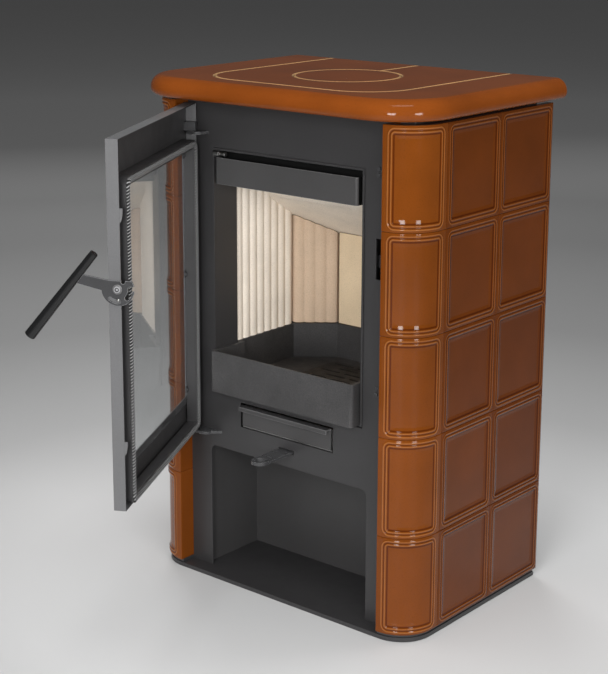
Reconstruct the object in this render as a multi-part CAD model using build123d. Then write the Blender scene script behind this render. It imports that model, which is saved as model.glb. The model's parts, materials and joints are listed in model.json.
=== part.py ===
from build123d import *
import os
from math import atan2, cos, degrees, hypot, radians, sin, sqrt, tan

# Tiled wood stove with an open fire door. Millimetres; +X is right as seen from the front,
# +Y to the back and +Z up. The origin is the centre of the base, on the floor.
# Depths are counted from the front line of the tile columns.

# ---------------------------------------------------------------- driving dimensions: tiled body
body_width = 605.0           # over the tiles
body_depth = 407.0           # from the front line of the tile columns to their back edge
corner_radius = 68.0         # plan radius of the quarter-round corner tiles
base_thickness = 8.0
base_inset = 4.0             # base plate, inside the line of the tiles
ledge_height = 6.0           # ledge between the base plate and the lowest tiles
ledge_inset = 6.0
tile_rows = 5
tile_pitch = 176.0           # height of one row
tile_joint = 1.0             # gap between neighbouring tiles
tile_thickness = 14.0
corner_tile_front = 72.3     # width of a corner tile seen from the front
corner_tile_side = 85.5      # width of a corner tile seen from the side
side_tile_width = 156.0      # the middle column of each side; the back column takes what is left
corner_leg = 12.0            # leg of the corner tile that turns back to the front plate
bead_height = 1.6            # relief of the double bead on each tile
bead_width = 5.0
bead_insets = (2.7, 9.0)     # from the edge of the tile to each bead
bead_corner = 16.0           # radius of the outer bead's corners
corner_bead_margin = 5.5     # the upright beads of a corner tile stand this much further in

# ---------------------------------------------------------------- driving dimensions: steel body
panel_setback = 35.0         # front plate, behind the front line of the tile columns
panel_thickness = 4.0
sheet = 2.0                  # folded sheet steel
side_gap = 16.6              # from the back of the tiles to the side panels
back_recess = 7.0            # back panel, inside the tiles' back edge
vent_size = (12.0, 40.0)     # vents in the back panel
vent_pitch = 30.0
vent_count = 7
vent_heights = (68.0, 338.0)
wood_box_width = 365.0
wood_box_height = 240.0
wood_box_depth = 137.0
wood_box_side_gap = 11.5     # liner, beside the opening in the front plate
wood_box_corner = 12.0
drawer_sill = 51.0           # drawer opening, above the top of the wood box
drawer_width = 215.0
drawer_height = 46.0
drawer_depth = 250.0
drawer_gap = 3.0
drawer_slide_gap = 0.4       # under the pan
drawer_back_gap = 15.0       # behind the pan
drawer_lip = (13.0, 8.0)     # reach and drop of the folded lip
lip_inset = 2.0
pan_drop = 2.0               # pan's rim, below the top of the drawer front
floor_flange = 20.0          # compartment floor, beyond its walls
hearth_rise = 13.0           # from the top of the drawer opening to the underside of the firebox
opening_width = 344.0        # fire opening in the front plate
opening_top = 84.0           # from the top of the opening to the top of the tiles
shell = 4.0                  # firebox plate
throat_proud = 2.0           # throat edge, in front of the front plate
throat_depth = 59.0          # from the front plate to the start of the lining
shell_width = 407.0
shell_depth = 311.0          # from the front plate to the outside of the firebox back
shell_top_gap = 20.0         # firebox roof, under the top plate

# ---------------------------------------------------------------- driving dimensions: inside the fire
bowl_height = 76.0
bowl_wall = 7.0
bowl_floor = 9.0
bowl_proud = 22.0            # bowl front, in front of the front plate
bowl_draft = 4.0             # the bowl front leans back by this much at its top
bowl_side_gap = 4.0
bowl_fit = 0.5               # bowl in the firebox
bowl_inset = 2.0             # bowl wall, inside the lining's face
bowl_edge_radius = 9.0
rim_thickness = 6.0
lining_face = 171.0          # half the width between the side linings
lining_thickness = 28.0
lining_height = 324.0
lining_joint = 2.0
lining_back_gap = 1.0        # between the back lining and the firebox back
lining_corner_depth = 55.5   # the angled lining starts this far in front of the back lining
lining_back_half = 104.6     # half the width of the smooth back lining
lobe_pitch = 20.5
lobe_depth = 3.2
baffle_thickness = 25.0
baffle_angle = 32.0
baffle_rise = 182.0          # baffle's underside at the back lining, above the bowl's rim
baffle_run = 123.0           # baffle's front edge, in front of the back lining
baffle_side_gap = 1.5
grate_size = (180.0, 150.0)
grate_setback = 103.0        # grate's centre, in front of the back lining
grate_thickness = 6.0
grate_gap = 0.5              # around the grate in its seat
grate_ledge = 5.0            # the seat under the grate's edge
grate_slot = (46.0, 7.0)
grate_pitch = (56.0, 21.0)   # neighbouring rows are staggered by half of the first
grate_margin = 8.0
deflector_width = 322.0
deflector_height = 48.0
deflector_drop = 16.0        # from the top of the opening to the top of the deflector
deflector_proud = 7.0
deflector_return = 22.0
deflector_bend = 6.0
deflector_wall_rise = 8.0    # back wall of the deflector, above its lower edge
deflector_pin = (6.0, 14.0)  # turned pin at its left end: radius and length
pin_neck = (3.0, 4.0)
pin_collar = (4.5, 10.0)

# ---------------------------------------------------------------- driving dimensions: flue and crown
flue_radius = 74.5
flue_wall = 3.0
flue_drop = 86.0             # flue, below the firebox roof
flue_stub = 40.0             # spigot, behind the back panel
flue_shoulder = 3.5          # the collar is this much larger up to the back panel
flue_flange = 14.0
flue_hole_gap = 4.0          # around the collar in the back panel
top_outlet_radius = 75.0
cap_lap = 10.0
cap_thickness = 6.0
cap_gap = 1.0
cap_lug = (12.0, 8.0)
crown_thickness = 36.0
crown_gap = 6.0              # crown, above the top edge of the tiles
crown_front = 35.0           # overhangs
crown_side = 17.5
crown_back = 12.5
crown_corner = 110.0
crown_top_radius = 23.0
crown_bottom_radius = 12.0
insert_width = 410.0
insert_setback = 56.0        # insert, behind the front of the crown
insert_corner = 92.0
crown_joint = 1.2
crown_slit = 1.6             # the slit from the lid to the back
lid_radius = 95.0
lid_thickness = 24.0
lid_seat = 11.0

# ---------------------------------------------------------------- driving dimensions: door, latch, lever
door_gap_hinge = 10.2
door_gap_latch = 9.0
door_top_gap = 7.0           # door, below the top edge of the tiles
door_lever_gap = 2.0         # door, above the air lever
door_front = 4.5             # depth of the door's outer face when it is closed
door_depth = 20.5
door_sheet = 2.0
door_open_angle = 62.2       # as it stands here; 0 is closed
hinge_inset = 22.2           # hinge axis, from the edge of the left tile column
hinge_depth = 21.5
pin_radius = 4.0
pin_clearance = 0.05
bracket_thickness = 5.0
bracket_nose = 13.0          # radius about the hinge axis
bracket_reach = (25.0, 11.0)     # how far each bracket runs on to the right, low and high
bracket_foot = (15.0, 2.0)       # and how much wider its foot is
bracket_drop = 54.0          # high bracket, below the top of the door
bracket_gap = 1.0            # low bracket, under the door
notch_gap = 3.0              # around the high bracket in the door's flange
flange_hole_gap = 0.5        # around the low pin in the door's flange
bush_length = 15.0
bush_half = 6.6              # half the width of a bush block
bush_gap = 0.4
pin_tail = 3.0               # below the bracket
collar_width = 3.0
collar_gap = 0.3
rope_beside = 21.2           # middle of the rope channel, beside the fire opening
rope_below = 8.5             # and below the drawer opening
rope_above = 7.0             # and above the fire opening
window_inset = 7.2           # sides of the window, inside the middle of the channel
window_drop = 15.0           # top of the window, below the middle of the channel
window_rise = 54.5           # bottom of the window, above the middle of the channel
channel_width = 14.6
channel_depth = 8.0
frame_corner = 16.0
frame_wall = 2.0
frame_reach = 25.5           # inner frame, from the door's outer face
rope_width = 9.6
rope_round = 3.8
rope_gap = 0.6               # rope seal, in front of the front plate when the door is closed
glass_thickness = 4.0
glass_lap = 3.5              # glass, under the inner wall of the frame
glass_drop = 13.0            # glass, below the window's lower edge
clip_size = (12.0, 9.0, 2.0)
clip_screw = (2.8, 2.2)
clip_ends = (15.0, 5.0)      # outer clips, inside the lower and upper edge of the window
latch_height = 651.0
latch_depth = 20.6
latch_plate = 3.0
latch_plate_gap = 0.3
claw_radius = 27.0
claw_top = 13.5              # flat top of the claw, above the pivot
claw_notch = (9.0, 12.0, 3.4)    # notch in that top: along, up, radius
catch_radius = 20.3          # catch pin and stop pin, from the latch pivot
catch_pin_radius = 3.0
catch_slack = 0.7
catch_angle = 3.0
catch_run_on = 8.0           # spare angle at the end of the catch channel
stop_pin_radius = 2.5
stop_slack = 0.5
stop_angle = -88.0
stop_run_on = 2.0
latch_turn = 38.6            # from the lifted handle to the latched one
bolt_radius = 4.0
bolt_tail = 4.0              # inside the door
washer_gap = 0.2
stop_proud = 1.0
washer = (8.0, 1.2)
bolt_head = (5.2, 2.4)
rod_radii = (6.8, 9.4)       # the handle is a tapered rod
rod_length = 179.0
rod_offset = 64.0            # rod axis, from the latch pivot
rod_top = 20.3               # rod top, beyond the foot of the pivot's perpendicular
arm_span = (23.0, 41.0)      # where the arm meets the rod, down from that foot
rod_edge = 1.0
arm_low = (-27.0, -3.0)      # bend of the arm's lower edge, from the pivot
arm_root = (215.0, 26.5)     # where that edge meets the claw: angle and radius about the pivot
arm_inside = (-30.0, 13.5)   # where the arm ends inside the claw
slot_width = 33.0            # latch slot in the front plate
slot_beside_claw = 4.5
slot_below = 26.0            # from the latch pivot
slot_above = 44.0
cheek = 2.4                  # catch cheeks, beside the claw
cheek_pitch = 14.8           # over both cheeks
cheek_height = 22.0
cheek_gap = 0.2
bridge = 3.0
bridge_depth = 14.0          # bridge of the catch, behind the front plate
bridge_foot = 10.0
screw_beside = 29.0          # pairs of small screw heads, beside the fire opening
screw_drops = (2.5, 379.4)   # and below its top
screw_spread = 5.2
screw_radius = 3.6
screw_height = 2.2
lever_drop = 20.0            # lever top, below the drawer opening
lever_thickness = 4.0
lever_width = 32.0
lever_out = 51.0             # lever tip, in front of the tile columns
lever_inside = 135.0
lever_travel = 36.0
lever_slot_gap = 2.0
rail_half = 3.0              # half the height of the rails behind the tile joints
eye_radius = 8.5             # hole in the ring at the lever's tip
eye_rim = 1.0                # the ring is this much thicker than the lever, above and below
slide_gap = 0.2              # under the slide
slide_margin = 2.0           # of the slide beyond its holes
air_hole_depth = 60.0        # behind the front plate
air_hole_radius = 15.0
air_hole_pitch = 40.0

# ---------------------------------------------------------------- heights and depths that follow
front = -body_depth / 2
base_top = base_thickness
tile_bottom = base_top + ledge_height
tile_top = tile_bottom + tile_rows * tile_pitch
tile_inner_x = body_width / 2 - corner_tile_front
wood_box_top = base_top + wood_box_height
drawer_bottom = wood_box_top + drawer_sill
drawer_top = drawer_bottom + drawer_height
hearth = drawer_top + hearth_rise
bowl_bottom = hearth + shell
rim = bowl_bottom + bowl_height
opening_z = tile_top - opening_top
top_plate_top = tile_top + crown_gap
top_plate_bottom = top_plate_top - panel_thickness
roof = top_plate_bottom - shell_top_gap
crown_top = top_plate_top + crown_thickness
side_panel_x = body_width / 2 - tile_thickness - side_gap
lever_top = drawer_bottom - lever_drop
lever_bottom = lever_top - lever_thickness
flue_height = roof - flue_drop


def at(depth):
    """The y of a depth counted from the front line of the tile columns."""
    return front + depth


panel_y = at(panel_setback)
panel_back = panel_y + panel_thickness
back_y = at(body_depth - back_recess)
shell_back = panel_y + shell_depth
throat_back = panel_y + throat_depth
lining_back_y = shell_back - shell - lining_back_gap - lining_thickness
lining_side_y = lining_back_y - lining_corner_depth
grate_y = lining_back_y - grate_setback
door_left = -tile_inner_x + door_gap_hinge
door_right = tile_inner_x - door_gap_latch
door_bottom = lever_top + door_lever_gap
door_top = tile_top - door_top_gap
door_y = at(door_front)
door_inside = door_y + door_sheet
door_edge = door_y + door_depth
arm_x = door_right + latch_plate_gap
arm_end = arm_x + latch_plate
slot_right = arm_end + slot_beside_claw
slot_left = slot_right - slot_width
slot_bottom = latch_height - slot_below
slot_top = latch_height + slot_above
tolerance = 0.01             # for picking edges by their place
least_corner = 0.5           # smallest corner radius of a ring


def block(x0, x1, y0, y1, z0, z1):
    """A box between two corners."""
    centre = Pos((x0 + x1) / 2, (y0 + y1) / 2, (z0 + z1) / 2)
    return centre * Box(abs(x1 - x0), abs(y1 - y0), abs(z1 - z0))


def upright(x, y, radius, z0, z1):
    """A cylinder along Z."""
    return Pos(x, y, (z0 + z1) / 2) * Cylinder(radius, z1 - z0)


def along_y(x, z, radius, y0, y1):
    """A cylinder along Y."""
    return Pos(x, (y0 + y1) / 2, z) * Rot(90, 0, 0) * Cylinder(radius, y1 - y0)


def along_x(y, z, radius, x0, x1):
    """A cylinder along X."""
    return Pos((x0 + x1) / 2, y, z) * Rot(0, 90, 0) * Cylinder(radius, x1 - x0)


def raise_plan(sketch, z0, z1):
    """A plan sketch raised from z0 to z1."""
    return extrude(Pos(0, 0, z0) * sketch, z1 - z0)


def side_plate(sketch, x0, x1):
    """A sketch drawn in the Y-Z plane, thickened from x0 to x1."""
    return extrude(Plane.YZ.offset(x0) * sketch, x1 - x0)


def ring_plate(half_width, z0, z1, wall, y0, y1, corner):
    """An upright rectangular ring with rounded corners, seen from the front."""
    plane = Plane(origin=(0, y1, (z0 + z1) / 2), x_dir=(1, 0, 0), z_dir=(0, -1, 0))
    outer = RectangleRounded(2 * half_width, z1 - z0, corner)
    inner_corner = max(corner - wall, least_corner)
    inner = RectangleRounded(2 * (half_width - wall), z1 - z0 - 2 * wall, inner_corner)
    return extrude(plane * (outer - inner), y1 - y0)


def both_sides(part):
    """A part of the right side together with its mirror image."""
    return [part, mirror(part, about=Plane.YZ)]


def body_outline(inset):
    """The plan of the tiled body, round at the front corners, moved in by an inset."""
    outline = Rectangle(body_width - 2 * inset, body_depth - 2 * inset)
    return fillet(outline.vertices().sort_by(Axis.Y)[:2], corner_radius - inset)


def save(name, *parts):
    """Write one node; its pieces stay separate solids."""
    solids = [solid for part in parts for solid in part.solids()]
    node = solids[0] if len(solids) == 1 else Compound(children=solids)
    export_step(node, f"parts/{name}.step")


os.makedirs("parts", exist_ok=True)


# ================================================================ base, front plate and casing
save("base_plate", raise_plan(body_outline(base_inset), 0, base_thickness))


def front_plate():
    """The front plate with its openings for fire, drawer, wood, lever and latch."""
    plate = block(-side_panel_x, side_panel_x, panel_y, panel_back, base_top, top_plate_bottom)
    plane = Plane(origin=(0, panel_back, 0), x_dir=(1, 0, 0), z_dir=(0, -1, 0))
    wood = Pos(0, base_top + (wood_box_height - wood_box_corner) / 2) * RectangleRounded(
        wood_box_width, wood_box_height + wood_box_corner, wood_box_corner
    )
    plate -= extrude(plane * wood, panel_thickness)
    half = opening_width / 2
    plate -= block(-half, half, panel_y, panel_back, hearth, opening_z)
    half = drawer_width / 2
    plate -= block(-half, half, panel_y, panel_back, drawer_bottom, drawer_top)
    half = lever_width / 2 + lever_slot_gap
    low, high = lever_bottom - lever_slot_gap, lever_top + lever_slot_gap
    plate -= block(-half, half, panel_y, panel_back, low, high)
    plate -= block(slot_left, slot_right, panel_y, panel_back, slot_bottom, slot_top)
    return plate


save("front_plate", front_plate())

side_panel = block(
    side_panel_x - sheet, side_panel_x, panel_back, back_y - sheet, base_top, top_plate_bottom
)
save("side_panels", *both_sides(side_panel))


def back_panel():
    """The back panel with the flue hole and two rows of vents."""
    panel = block(-side_panel_x, side_panel_x, back_y - sheet, back_y, base_top, top_plate_bottom)
    hole = flue_radius + flue_shoulder + flue_hole_gap
    panel -= along_y(0, flue_height, hole, back_y - sheet, back_y)
    for row in vent_heights:
        for i in range(vent_count):
            x = (i - (vent_count - 1) / 2) * vent_pitch
            half = vent_size[0] / 2
            panel -= block(x - half, x + half, back_y - sheet, back_y, row, row + vent_size[1])
    return panel


save("back_panel", back_panel())

top_plate = block(
    -side_panel_x, side_panel_x, panel_y, back_y, top_plate_bottom, top_plate_top
)
top_plate -= upright(0, 0, lid_radius - lid_seat, top_plate_bottom, top_plate_top)
save("top_plate", top_plate)


def wood_box():
    """The folded liner of the wood box: two sides, back and roof."""
    half = wood_box_width / 2 + wood_box_side_gap
    back = panel_back + wood_box_depth
    roof_z = wood_box_top + sheet
    outer = block(-half - sheet, half + sheet, panel_back, back + sheet, base_top, roof_z + sheet)
    return outer - block(-half, half, panel_back, back, base_top, roof_z)


save("wood_box", wood_box())


def ash_compartment():
    """The channel that the ash drawer slides in, open at the front and top."""
    half = drawer_width / 2 + drawer_gap
    back = panel_back + drawer_depth + drawer_back_gap
    walls = block(-half - sheet, half + sheet, panel_back, back, drawer_bottom, hearth)
    walls -= block(-half, half, panel_back, back - sheet, drawer_bottom, hearth)
    floor_half = half + floor_flange
    floor = block(
        -floor_half, floor_half, panel_back, back, drawer_bottom - sheet, drawer_bottom
    )
    return walls + floor


save("ash_compartment", ash_compartment())


# ================================================================ firebox shell
def firebox_shell():
    """The firebox of welded plate, with the throat that comes forward through the front plate."""
    half = shell_width / 2
    box = block(-half, half, throat_back - shell, shell_back, hearth, roof)
    box -= block(
        -half + shell, half - shell, throat_back, shell_back - shell, hearth + shell, roof - shell
    )
    throat_half = opening_width / 2
    lip = panel_y - throat_proud
    throat = block(-throat_half, throat_half, lip, throat_back, hearth, opening_z)
    bore_half = throat_half - shell
    bore = block(
        -bore_half, bore_half, lip, throat_back, hearth + shell, opening_z - shell
    )
    floor_lip = block(-throat_half, throat_half, lip, panel_back, hearth, hearth + shell)
    shell_body = box + throat - bore - floor_lip
    ash_x, ash_y = grate_size[0] / 2, grate_size[1] / 2
    shell_body -= block(-ash_x, ash_x, grate_y - ash_y, grate_y + ash_y, hearth, hearth + shell)
    shell_body -= upright(0, 0, top_outlet_radius, roof - shell, roof)
    inner_flue = flue_radius - flue_wall
    return shell_body - along_y(0, flue_height, inner_flue, shell_back - shell, shell_back)


save("firebox_shell", firebox_shell())

outlet_cap = upright(0, 0, top_outlet_radius + cap_lap, roof, roof + cap_thickness)
outlet_cap += upright(0, 0, top_outlet_radius - cap_gap, roof - shell, roof)
lug_half, lug_height = cap_lug
lug_base = roof + cap_thickness
outlet_cap += block(-lug_half, lug_half, -sheet, sheet, lug_base, lug_base + lug_height)
save("top_outlet_cap", outlet_cap)

flue_end = back_y + flue_stub
collar_face = shell_back + shell
flue_collar = along_y(0, flue_height, flue_radius + flue_flange, shell_back, collar_face)
flue_collar += along_y(0, flue_height, flue_radius + flue_shoulder, collar_face, back_y)
flue_collar += along_y(0, flue_height, flue_radius, back_y, flue_end)
flue_collar -= along_y(0, flue_height, flue_radius - flue_wall, shell_back, flue_end)
save("flue_collar", flue_collar)


# ================================================================ fire bowl and grate
turn_side = degrees(atan2(lining_face - lining_back_half, lining_corner_depth))
turn_back = degrees(atan2(lining_corner_depth, lining_face - lining_back_half))


def lining_path(inset, start):
    """The plan of the lining's faces to the fire, from one side of the throat to the other.

    The inset moves it in; its corners stay mitred."""
    x, back_y = lining_face - inset, lining_back_y - inset
    side_y = lining_side_y - inset * tan(radians(turn_side / 2))
    back_x = lining_back_half - inset * tan(radians(turn_back / 2))
    return [
        (-x, start), (-x, side_y), (-back_x, back_y), (back_x, back_y), (x, side_y), (x, start),
    ]


def fire_bowl():
    """The cast bowl: its front wall stands in the opening and its rim carries the lining."""
    throat_half = opening_width / 2 - shell - bowl_side_gap
    cavity_half = throat_half - bowl_wall
    bowl_front = panel_y - bowl_proud
    shoulder = throat_back + bowl_wall + bowl_fit
    narrow = [
        (cavity_half, shoulder), (cavity_half, bowl_front + bowl_wall),
        (-cavity_half, bowl_front + bowl_wall), (-cavity_half, shoulder),
    ]
    cavity = make_face(Polyline(*lining_path(bowl_inset, shoulder), *narrow, close=True))
    outside = offset(cavity, bowl_wall, kind=Kind.INTERSECTION)
    bowl = raise_plan(outside, bowl_bottom, rim)
    front_edges = bowl.edges().filter_by(Axis.Z).group_by(Axis.Y)[0]
    bowl = fillet(front_edges, bowl_edge_radius)
    half = shell_width / 2 - shell - bowl_fit
    rim_front, rim_back = throat_back + bowl_fit, shell_back - shell - bowl_fit
    bowl += block(-half, half, rim_front, rim_back, rim - rim_thickness, rim)
    bowl -= raise_plan(cavity, bowl_bottom + bowl_floor, rim)
    lean = make_face(
        Polyline(
            (bowl_front, bowl_bottom), (bowl_front + bowl_draft, rim), (bowl_front, rim),
            close=True,
        )
    )
    bowl -= side_plate(lean, -lining_face, lining_face)
    x, y = grate_size[0] / 2 - grate_ledge, grate_size[1] / 2 - grate_ledge
    seat = bowl_bottom + bowl_floor - grate_thickness
    bowl -= block(-x, x, grate_y - y, grate_y + y, bowl_bottom, seat)
    x, y = grate_size[0] / 2 + grate_gap, grate_size[1] / 2 + grate_gap
    return bowl - block(-x, x, grate_y - y, grate_y + y, seat, bowl_bottom + bowl_floor)


save("fire_bowl", fire_bowl())


def grate():
    """The loose grate in the bowl's floor, with staggered rows of slots."""
    top = bowl_bottom + bowl_floor
    width, depth = grate_size
    slots = Sketch()
    rows = int((depth - 2 * grate_margin - grate_slot[1]) / grate_pitch[1]) + 1
    for row in range(rows):
        stagger = row % 2
        count = int((width - 2 * grate_margin - grate_slot[0]) / grate_pitch[0]) + 1 - stagger
        y = grate_y + (row - (rows - 1) / 2) * grate_pitch[1]
        for i in range(count):
            x = (i - (count - 1) / 2) * grate_pitch[0]
            slots += Pos(x, y) * SlotOverall(*grate_slot)
    front_edge, back_edge = grate_y - depth / 2, grate_y + depth / 2
    plate = block(-width / 2, width / 2, front_edge, back_edge, top - grate_thickness, top)
    return plate - raise_plan(slots, top - grate_thickness, top)


save("grate", grate())


# ================================================================ lining, baffle and air deflector
def lining(start, end, turn_before, turn_after, lobed):
    """One lining slab from start to end, its face to the fire on the right of that direction.

    Its ends are mitred to the neighbours by half of the turn at each end."""
    run = hypot(end[0] - start[0], end[1] - start[1])
    heading = degrees(atan2(end[1] - start[1], end[0] - start[0]))
    gap = lining_joint / 2
    before = lining_thickness * tan(radians(turn_before / 2))
    after = lining_thickness * tan(radians(turn_after / 2))
    face_depth = lobe_depth if lobed else 0.0
    slab = make_face(
        Polyline(
            (gap, face_depth), (run - gap, face_depth), (run - gap + after, lining_thickness),
            (gap - before, lining_thickness), close=True,
        )
    )
    if lobed:
        lobes = round(run / lobe_pitch)
        width = (run - 2 * gap) / lobes
        bulge = ((width / 2) ** 2 + lobe_depth**2) / (2 * lobe_depth)
        front_strip = Rectangle(
            run - 2 * gap, 2 * lobe_depth, align=(Align.CENTER, Align.MIN)
        )
        circles = Sketch() + [
            Pos(gap + (i + 0.5) * width, bulge) * Circle(bulge) for i in range(lobes)
        ]
        slab = slab + (circles & Pos(run / 2, 0) * front_strip)
    return Pos(*start) * Rot(0, 0, heading) * slab


def under_baffle(y):
    """The height of the baffle's underside at a y."""
    return rim + baffle_rise + (lining_back_y - y) * tan(radians(baffle_angle))


def baffle_section(grow):
    """The baffle's section in the Y-Z plane, grown upwards for the cut in the lining."""
    y0, y1 = lining_back_y - baffle_run, shell_back - shell - lining_back_gap
    thick = baffle_thickness / cos(radians(baffle_angle)) + grow
    return make_face(
        Polyline(
            (y0, under_baffle(y0)), (y1, under_baffle(y1)),
            (y1, under_baffle(y1) + thick), (y0, under_baffle(y0) + thick), close=True,
        )
    )


path = lining_path(0.0, throat_back)
above_baffle = side_plate(baffle_section(lining_height), -shell_width / 2, shell_width / 2)
lining_top = rim + lining_height
slabs = []
for i, turns, lobed in (
    (0, (0, turn_side), True),
    (1, (turn_side, turn_back), True),
    (2, (turn_back, turn_back), False),
    (3, (turn_back, turn_side), True),
    (4, (turn_side, 0), True),
):
    slab = raise_plan(lining(path[i], path[i + 1], *turns, lobed), rim, lining_top)
    slabs.append(slab - above_baffle)
save("lining_left", slabs[0])
save("lining_right", slabs[4])
save("lining_back", slabs[2])
save("lining_corners", slabs[1], slabs[3])

baffle_half = shell_width / 2 - shell - baffle_side_gap
save("baffle_plate", side_plate(baffle_section(0.0), -baffle_half, baffle_half))


def air_deflector():
    """The folded plate below the top of the opening: rounded ends turn back to a wall behind it."""
    top = opening_z - deflector_drop
    bottom = top - deflector_height
    y0 = panel_y - deflector_proud
    half = deflector_width / 2
    outline = Pos(0, y0 + deflector_return / 2) * Rectangle(deflector_width, deflector_return)
    outline = fillet(outline.vertices().sort_by(Axis.Y)[:2], deflector_bend)
    inside = Pos(0, y0 + deflector_return / 2 + sheet) * Rectangle(
        deflector_width - 2 * sheet, deflector_return
    )
    inside = fillet(inside.vertices().sort_by(Axis.Y)[:2], deflector_bend - sheet)
    folded = raise_plan(outline - inside, bottom, top)
    throat_half = opening_width / 2 - shell
    y1 = y0 + deflector_return
    wall_low, wall_high = bottom + deflector_wall_rise, opening_z - shell
    return folded + block(-throat_half, throat_half, y1 - sheet, y1, wall_low, wall_high)


def deflector_end_pin():
    """The turned pin that locks the deflector's left end to the throat."""
    y, z = panel_y, opening_z - deflector_drop + deflector_pin[0]
    start = shell - opening_width / 2
    pin = []
    for radius, length in (deflector_pin, pin_neck, pin_collar):
        pin.append(along_x(y, z, radius, start, start + length))
        start += length
    return pin[0] + pin[1] + pin[2]


save("air_deflector", air_deflector(), deflector_end_pin())


# ================================================================ tiles, ledges and rails
def bead_rings(width, height, squeeze, margin):
    """The two beads as flat rings; squeeze is for a face that is seen at a slant."""
    rings = Sketch()
    for inset in bead_insets:
        corner = bead_corner - (inset - bead_insets[0])
        outer = RectangleRounded(
            width - 2 * (inset + margin) * squeeze, height - 2 * inset, corner * squeeze
        )
        inner_inset = inset + bead_width
        inner = RectangleRounded(
            width - 2 * (inner_inset + margin) * squeeze,
            height - 2 * inner_inset,
            max(corner - bead_width, least_corner) * squeeze,
        )
        rings += outer - inner
    return rings


tile_height = tile_pitch - tile_joint


def corner_tile():
    """The right corner tile of the lowest row: quarter-round, with a leg to the front plate."""
    edge_x, edge_y = tile_inner_x, at(corner_tile_side) - tile_joint / 2
    zone = Pos((edge_x + body_width) / 2, (edge_y - body_depth) / 2) * Rectangle(
        body_width - edge_x, edge_y + body_depth
    )
    z0, z1 = tile_bottom, tile_bottom + tile_height
    slab = (body_outline(bead_height) - body_outline(tile_thickness)) & zone
    skin = (body_outline(0) - body_outline(bead_height)) & zone
    leg = Pos(edge_x + corner_leg / 2, at(panel_setback / 2 + bead_height)) * Rectangle(
        corner_leg, panel_setback - 2 * bead_height
    )
    slant = sqrt(0.5)
    reach = (body_width / 2 + edge_y) * slant - (edge_x + front) * slant
    middle = ((body_width / 2 + edge_y) + (edge_x + front)) * slant / 2
    plane = Plane(
        origin=(middle * slant, middle * slant, (z0 + z1) / 2), x_dir=(1, 1, 0), z_dir=(1, -1, 0)
    )
    rings = bead_rings(reach, tile_height, slant, corner_bead_margin)
    rings = extrude(plane * rings, body_width)
    beads = raise_plan(skin, z0, z1) & rings
    return raise_plan(slab + leg, z0, z1) + beads


def side_tile(y0, y1):
    """A flat tile of the right side, between two y values, in the lowest row."""
    x = body_width / 2
    z0, z1 = tile_bottom, tile_bottom + tile_height
    plane = Plane(
        origin=(x - bead_height, (y0 + y1) / 2, (z0 + z1) / 2), x_dir=(0, 1, 0), z_dir=(1, 0, 0)
    )
    slab = block(x - tile_thickness, x - bead_height, y0, y1, z0, z1)
    return slab + extrude(plane * bead_rings(y1 - y0, tile_height, 1.0, 0.0), bead_height)


first_corner = corner_tile()
middle_start = at(corner_tile_side) + tile_joint / 2
middle_end = at(corner_tile_side + side_tile_width) - tile_joint / 2
first_middle = side_tile(middle_start, middle_end)
first_back = side_tile(middle_end + tile_joint, at(body_depth))
for row in range(tile_rows):
    lift = Pos(0, 0, row * tile_pitch)
    number = tile_rows - row
    corner = lift * first_corner
    pair = [lift * first_middle, lift * first_back]
    save(f"corner_tile_right_{number}", corner)
    save(f"corner_tile_left_{number}", mirror(corner, about=Plane.YZ))
    save(f"side_tiles_right_{number}", *pair)
    save(f"side_tiles_left_{number}", *[mirror(tile, about=Plane.YZ) for tile in pair])


def tile_rails():
    """The ledge under the right side's tiles and the rails behind its joints."""
    inside = Pos(0, (panel_y + body_depth) / 2) * Rectangle(
        2 * side_panel_x, body_depth - panel_y
    )
    doorway = Rectangle(2 * (tile_inner_x + tile_joint), 2 * body_depth)
    half_plane = Pos(body_width / 2, 0) * Rectangle(body_width, 2 * body_depth)
    plan = (body_outline(ledge_inset) - inside - doorway) & half_plane
    ledge = raise_plan(plan, base_top, tile_bottom)
    back_of_tiles = body_width / 2 - tile_thickness
    rails = []
    for row in range(1, tile_rows):
        joint = tile_bottom + row * tile_pitch
        rails.append(
            block(
                side_panel_x, back_of_tiles, at(corner_tile_side), back_y - sheet,
                joint - rail_half, joint + rail_half,
            )
        )
    return [ledge, *rails]


save("tile_rails", *[solid for part in tile_rails() for solid in both_sides(part)])


# ================================================================ crown
def crown_plan(shrink):
    """The plan of the crown, round at the front corners; shrink moves front and sides in."""
    width = body_width + 2 * crown_side - 2 * shrink
    y0, y1 = front - crown_front + shrink, body_depth / 2 + crown_back
    outline = Pos(0, (y0 + y1) / 2) * Rectangle(width, y1 - y0)
    return fillet(outline.vertices().sort_by(Axis.Y)[:2], crown_corner - shrink)


def insert_plan(shrink):
    """The plan of the plate let into the crown, open to the back."""
    y0 = front - crown_front + insert_setback + shrink
    y1 = body_depth / 2 + crown_back
    outline = Pos(0, (y0 + y1) / 2) * Rectangle(insert_width - 2 * shrink, y1 - y0)
    return fillet(outline.vertices().sort_by(Axis.Y)[:2], insert_corner - shrink)


def crown_body():
    """The crown as one slab with its rounded edge."""
    slab = raise_plan(crown_plan(0), top_plate_top, crown_top)
    crown_end = body_depth / 2 + crown_back
    for height, radius in ((crown_top, crown_top_radius), (top_plate_top, crown_bottom_radius)):
        edge = [
            e for e in slab.edges()
            if abs(e.center().Z - height) < tolerance and e.center().Y < crown_end - tolerance
        ]
        slab = fillet(edge, radius)
    return slab


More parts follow.
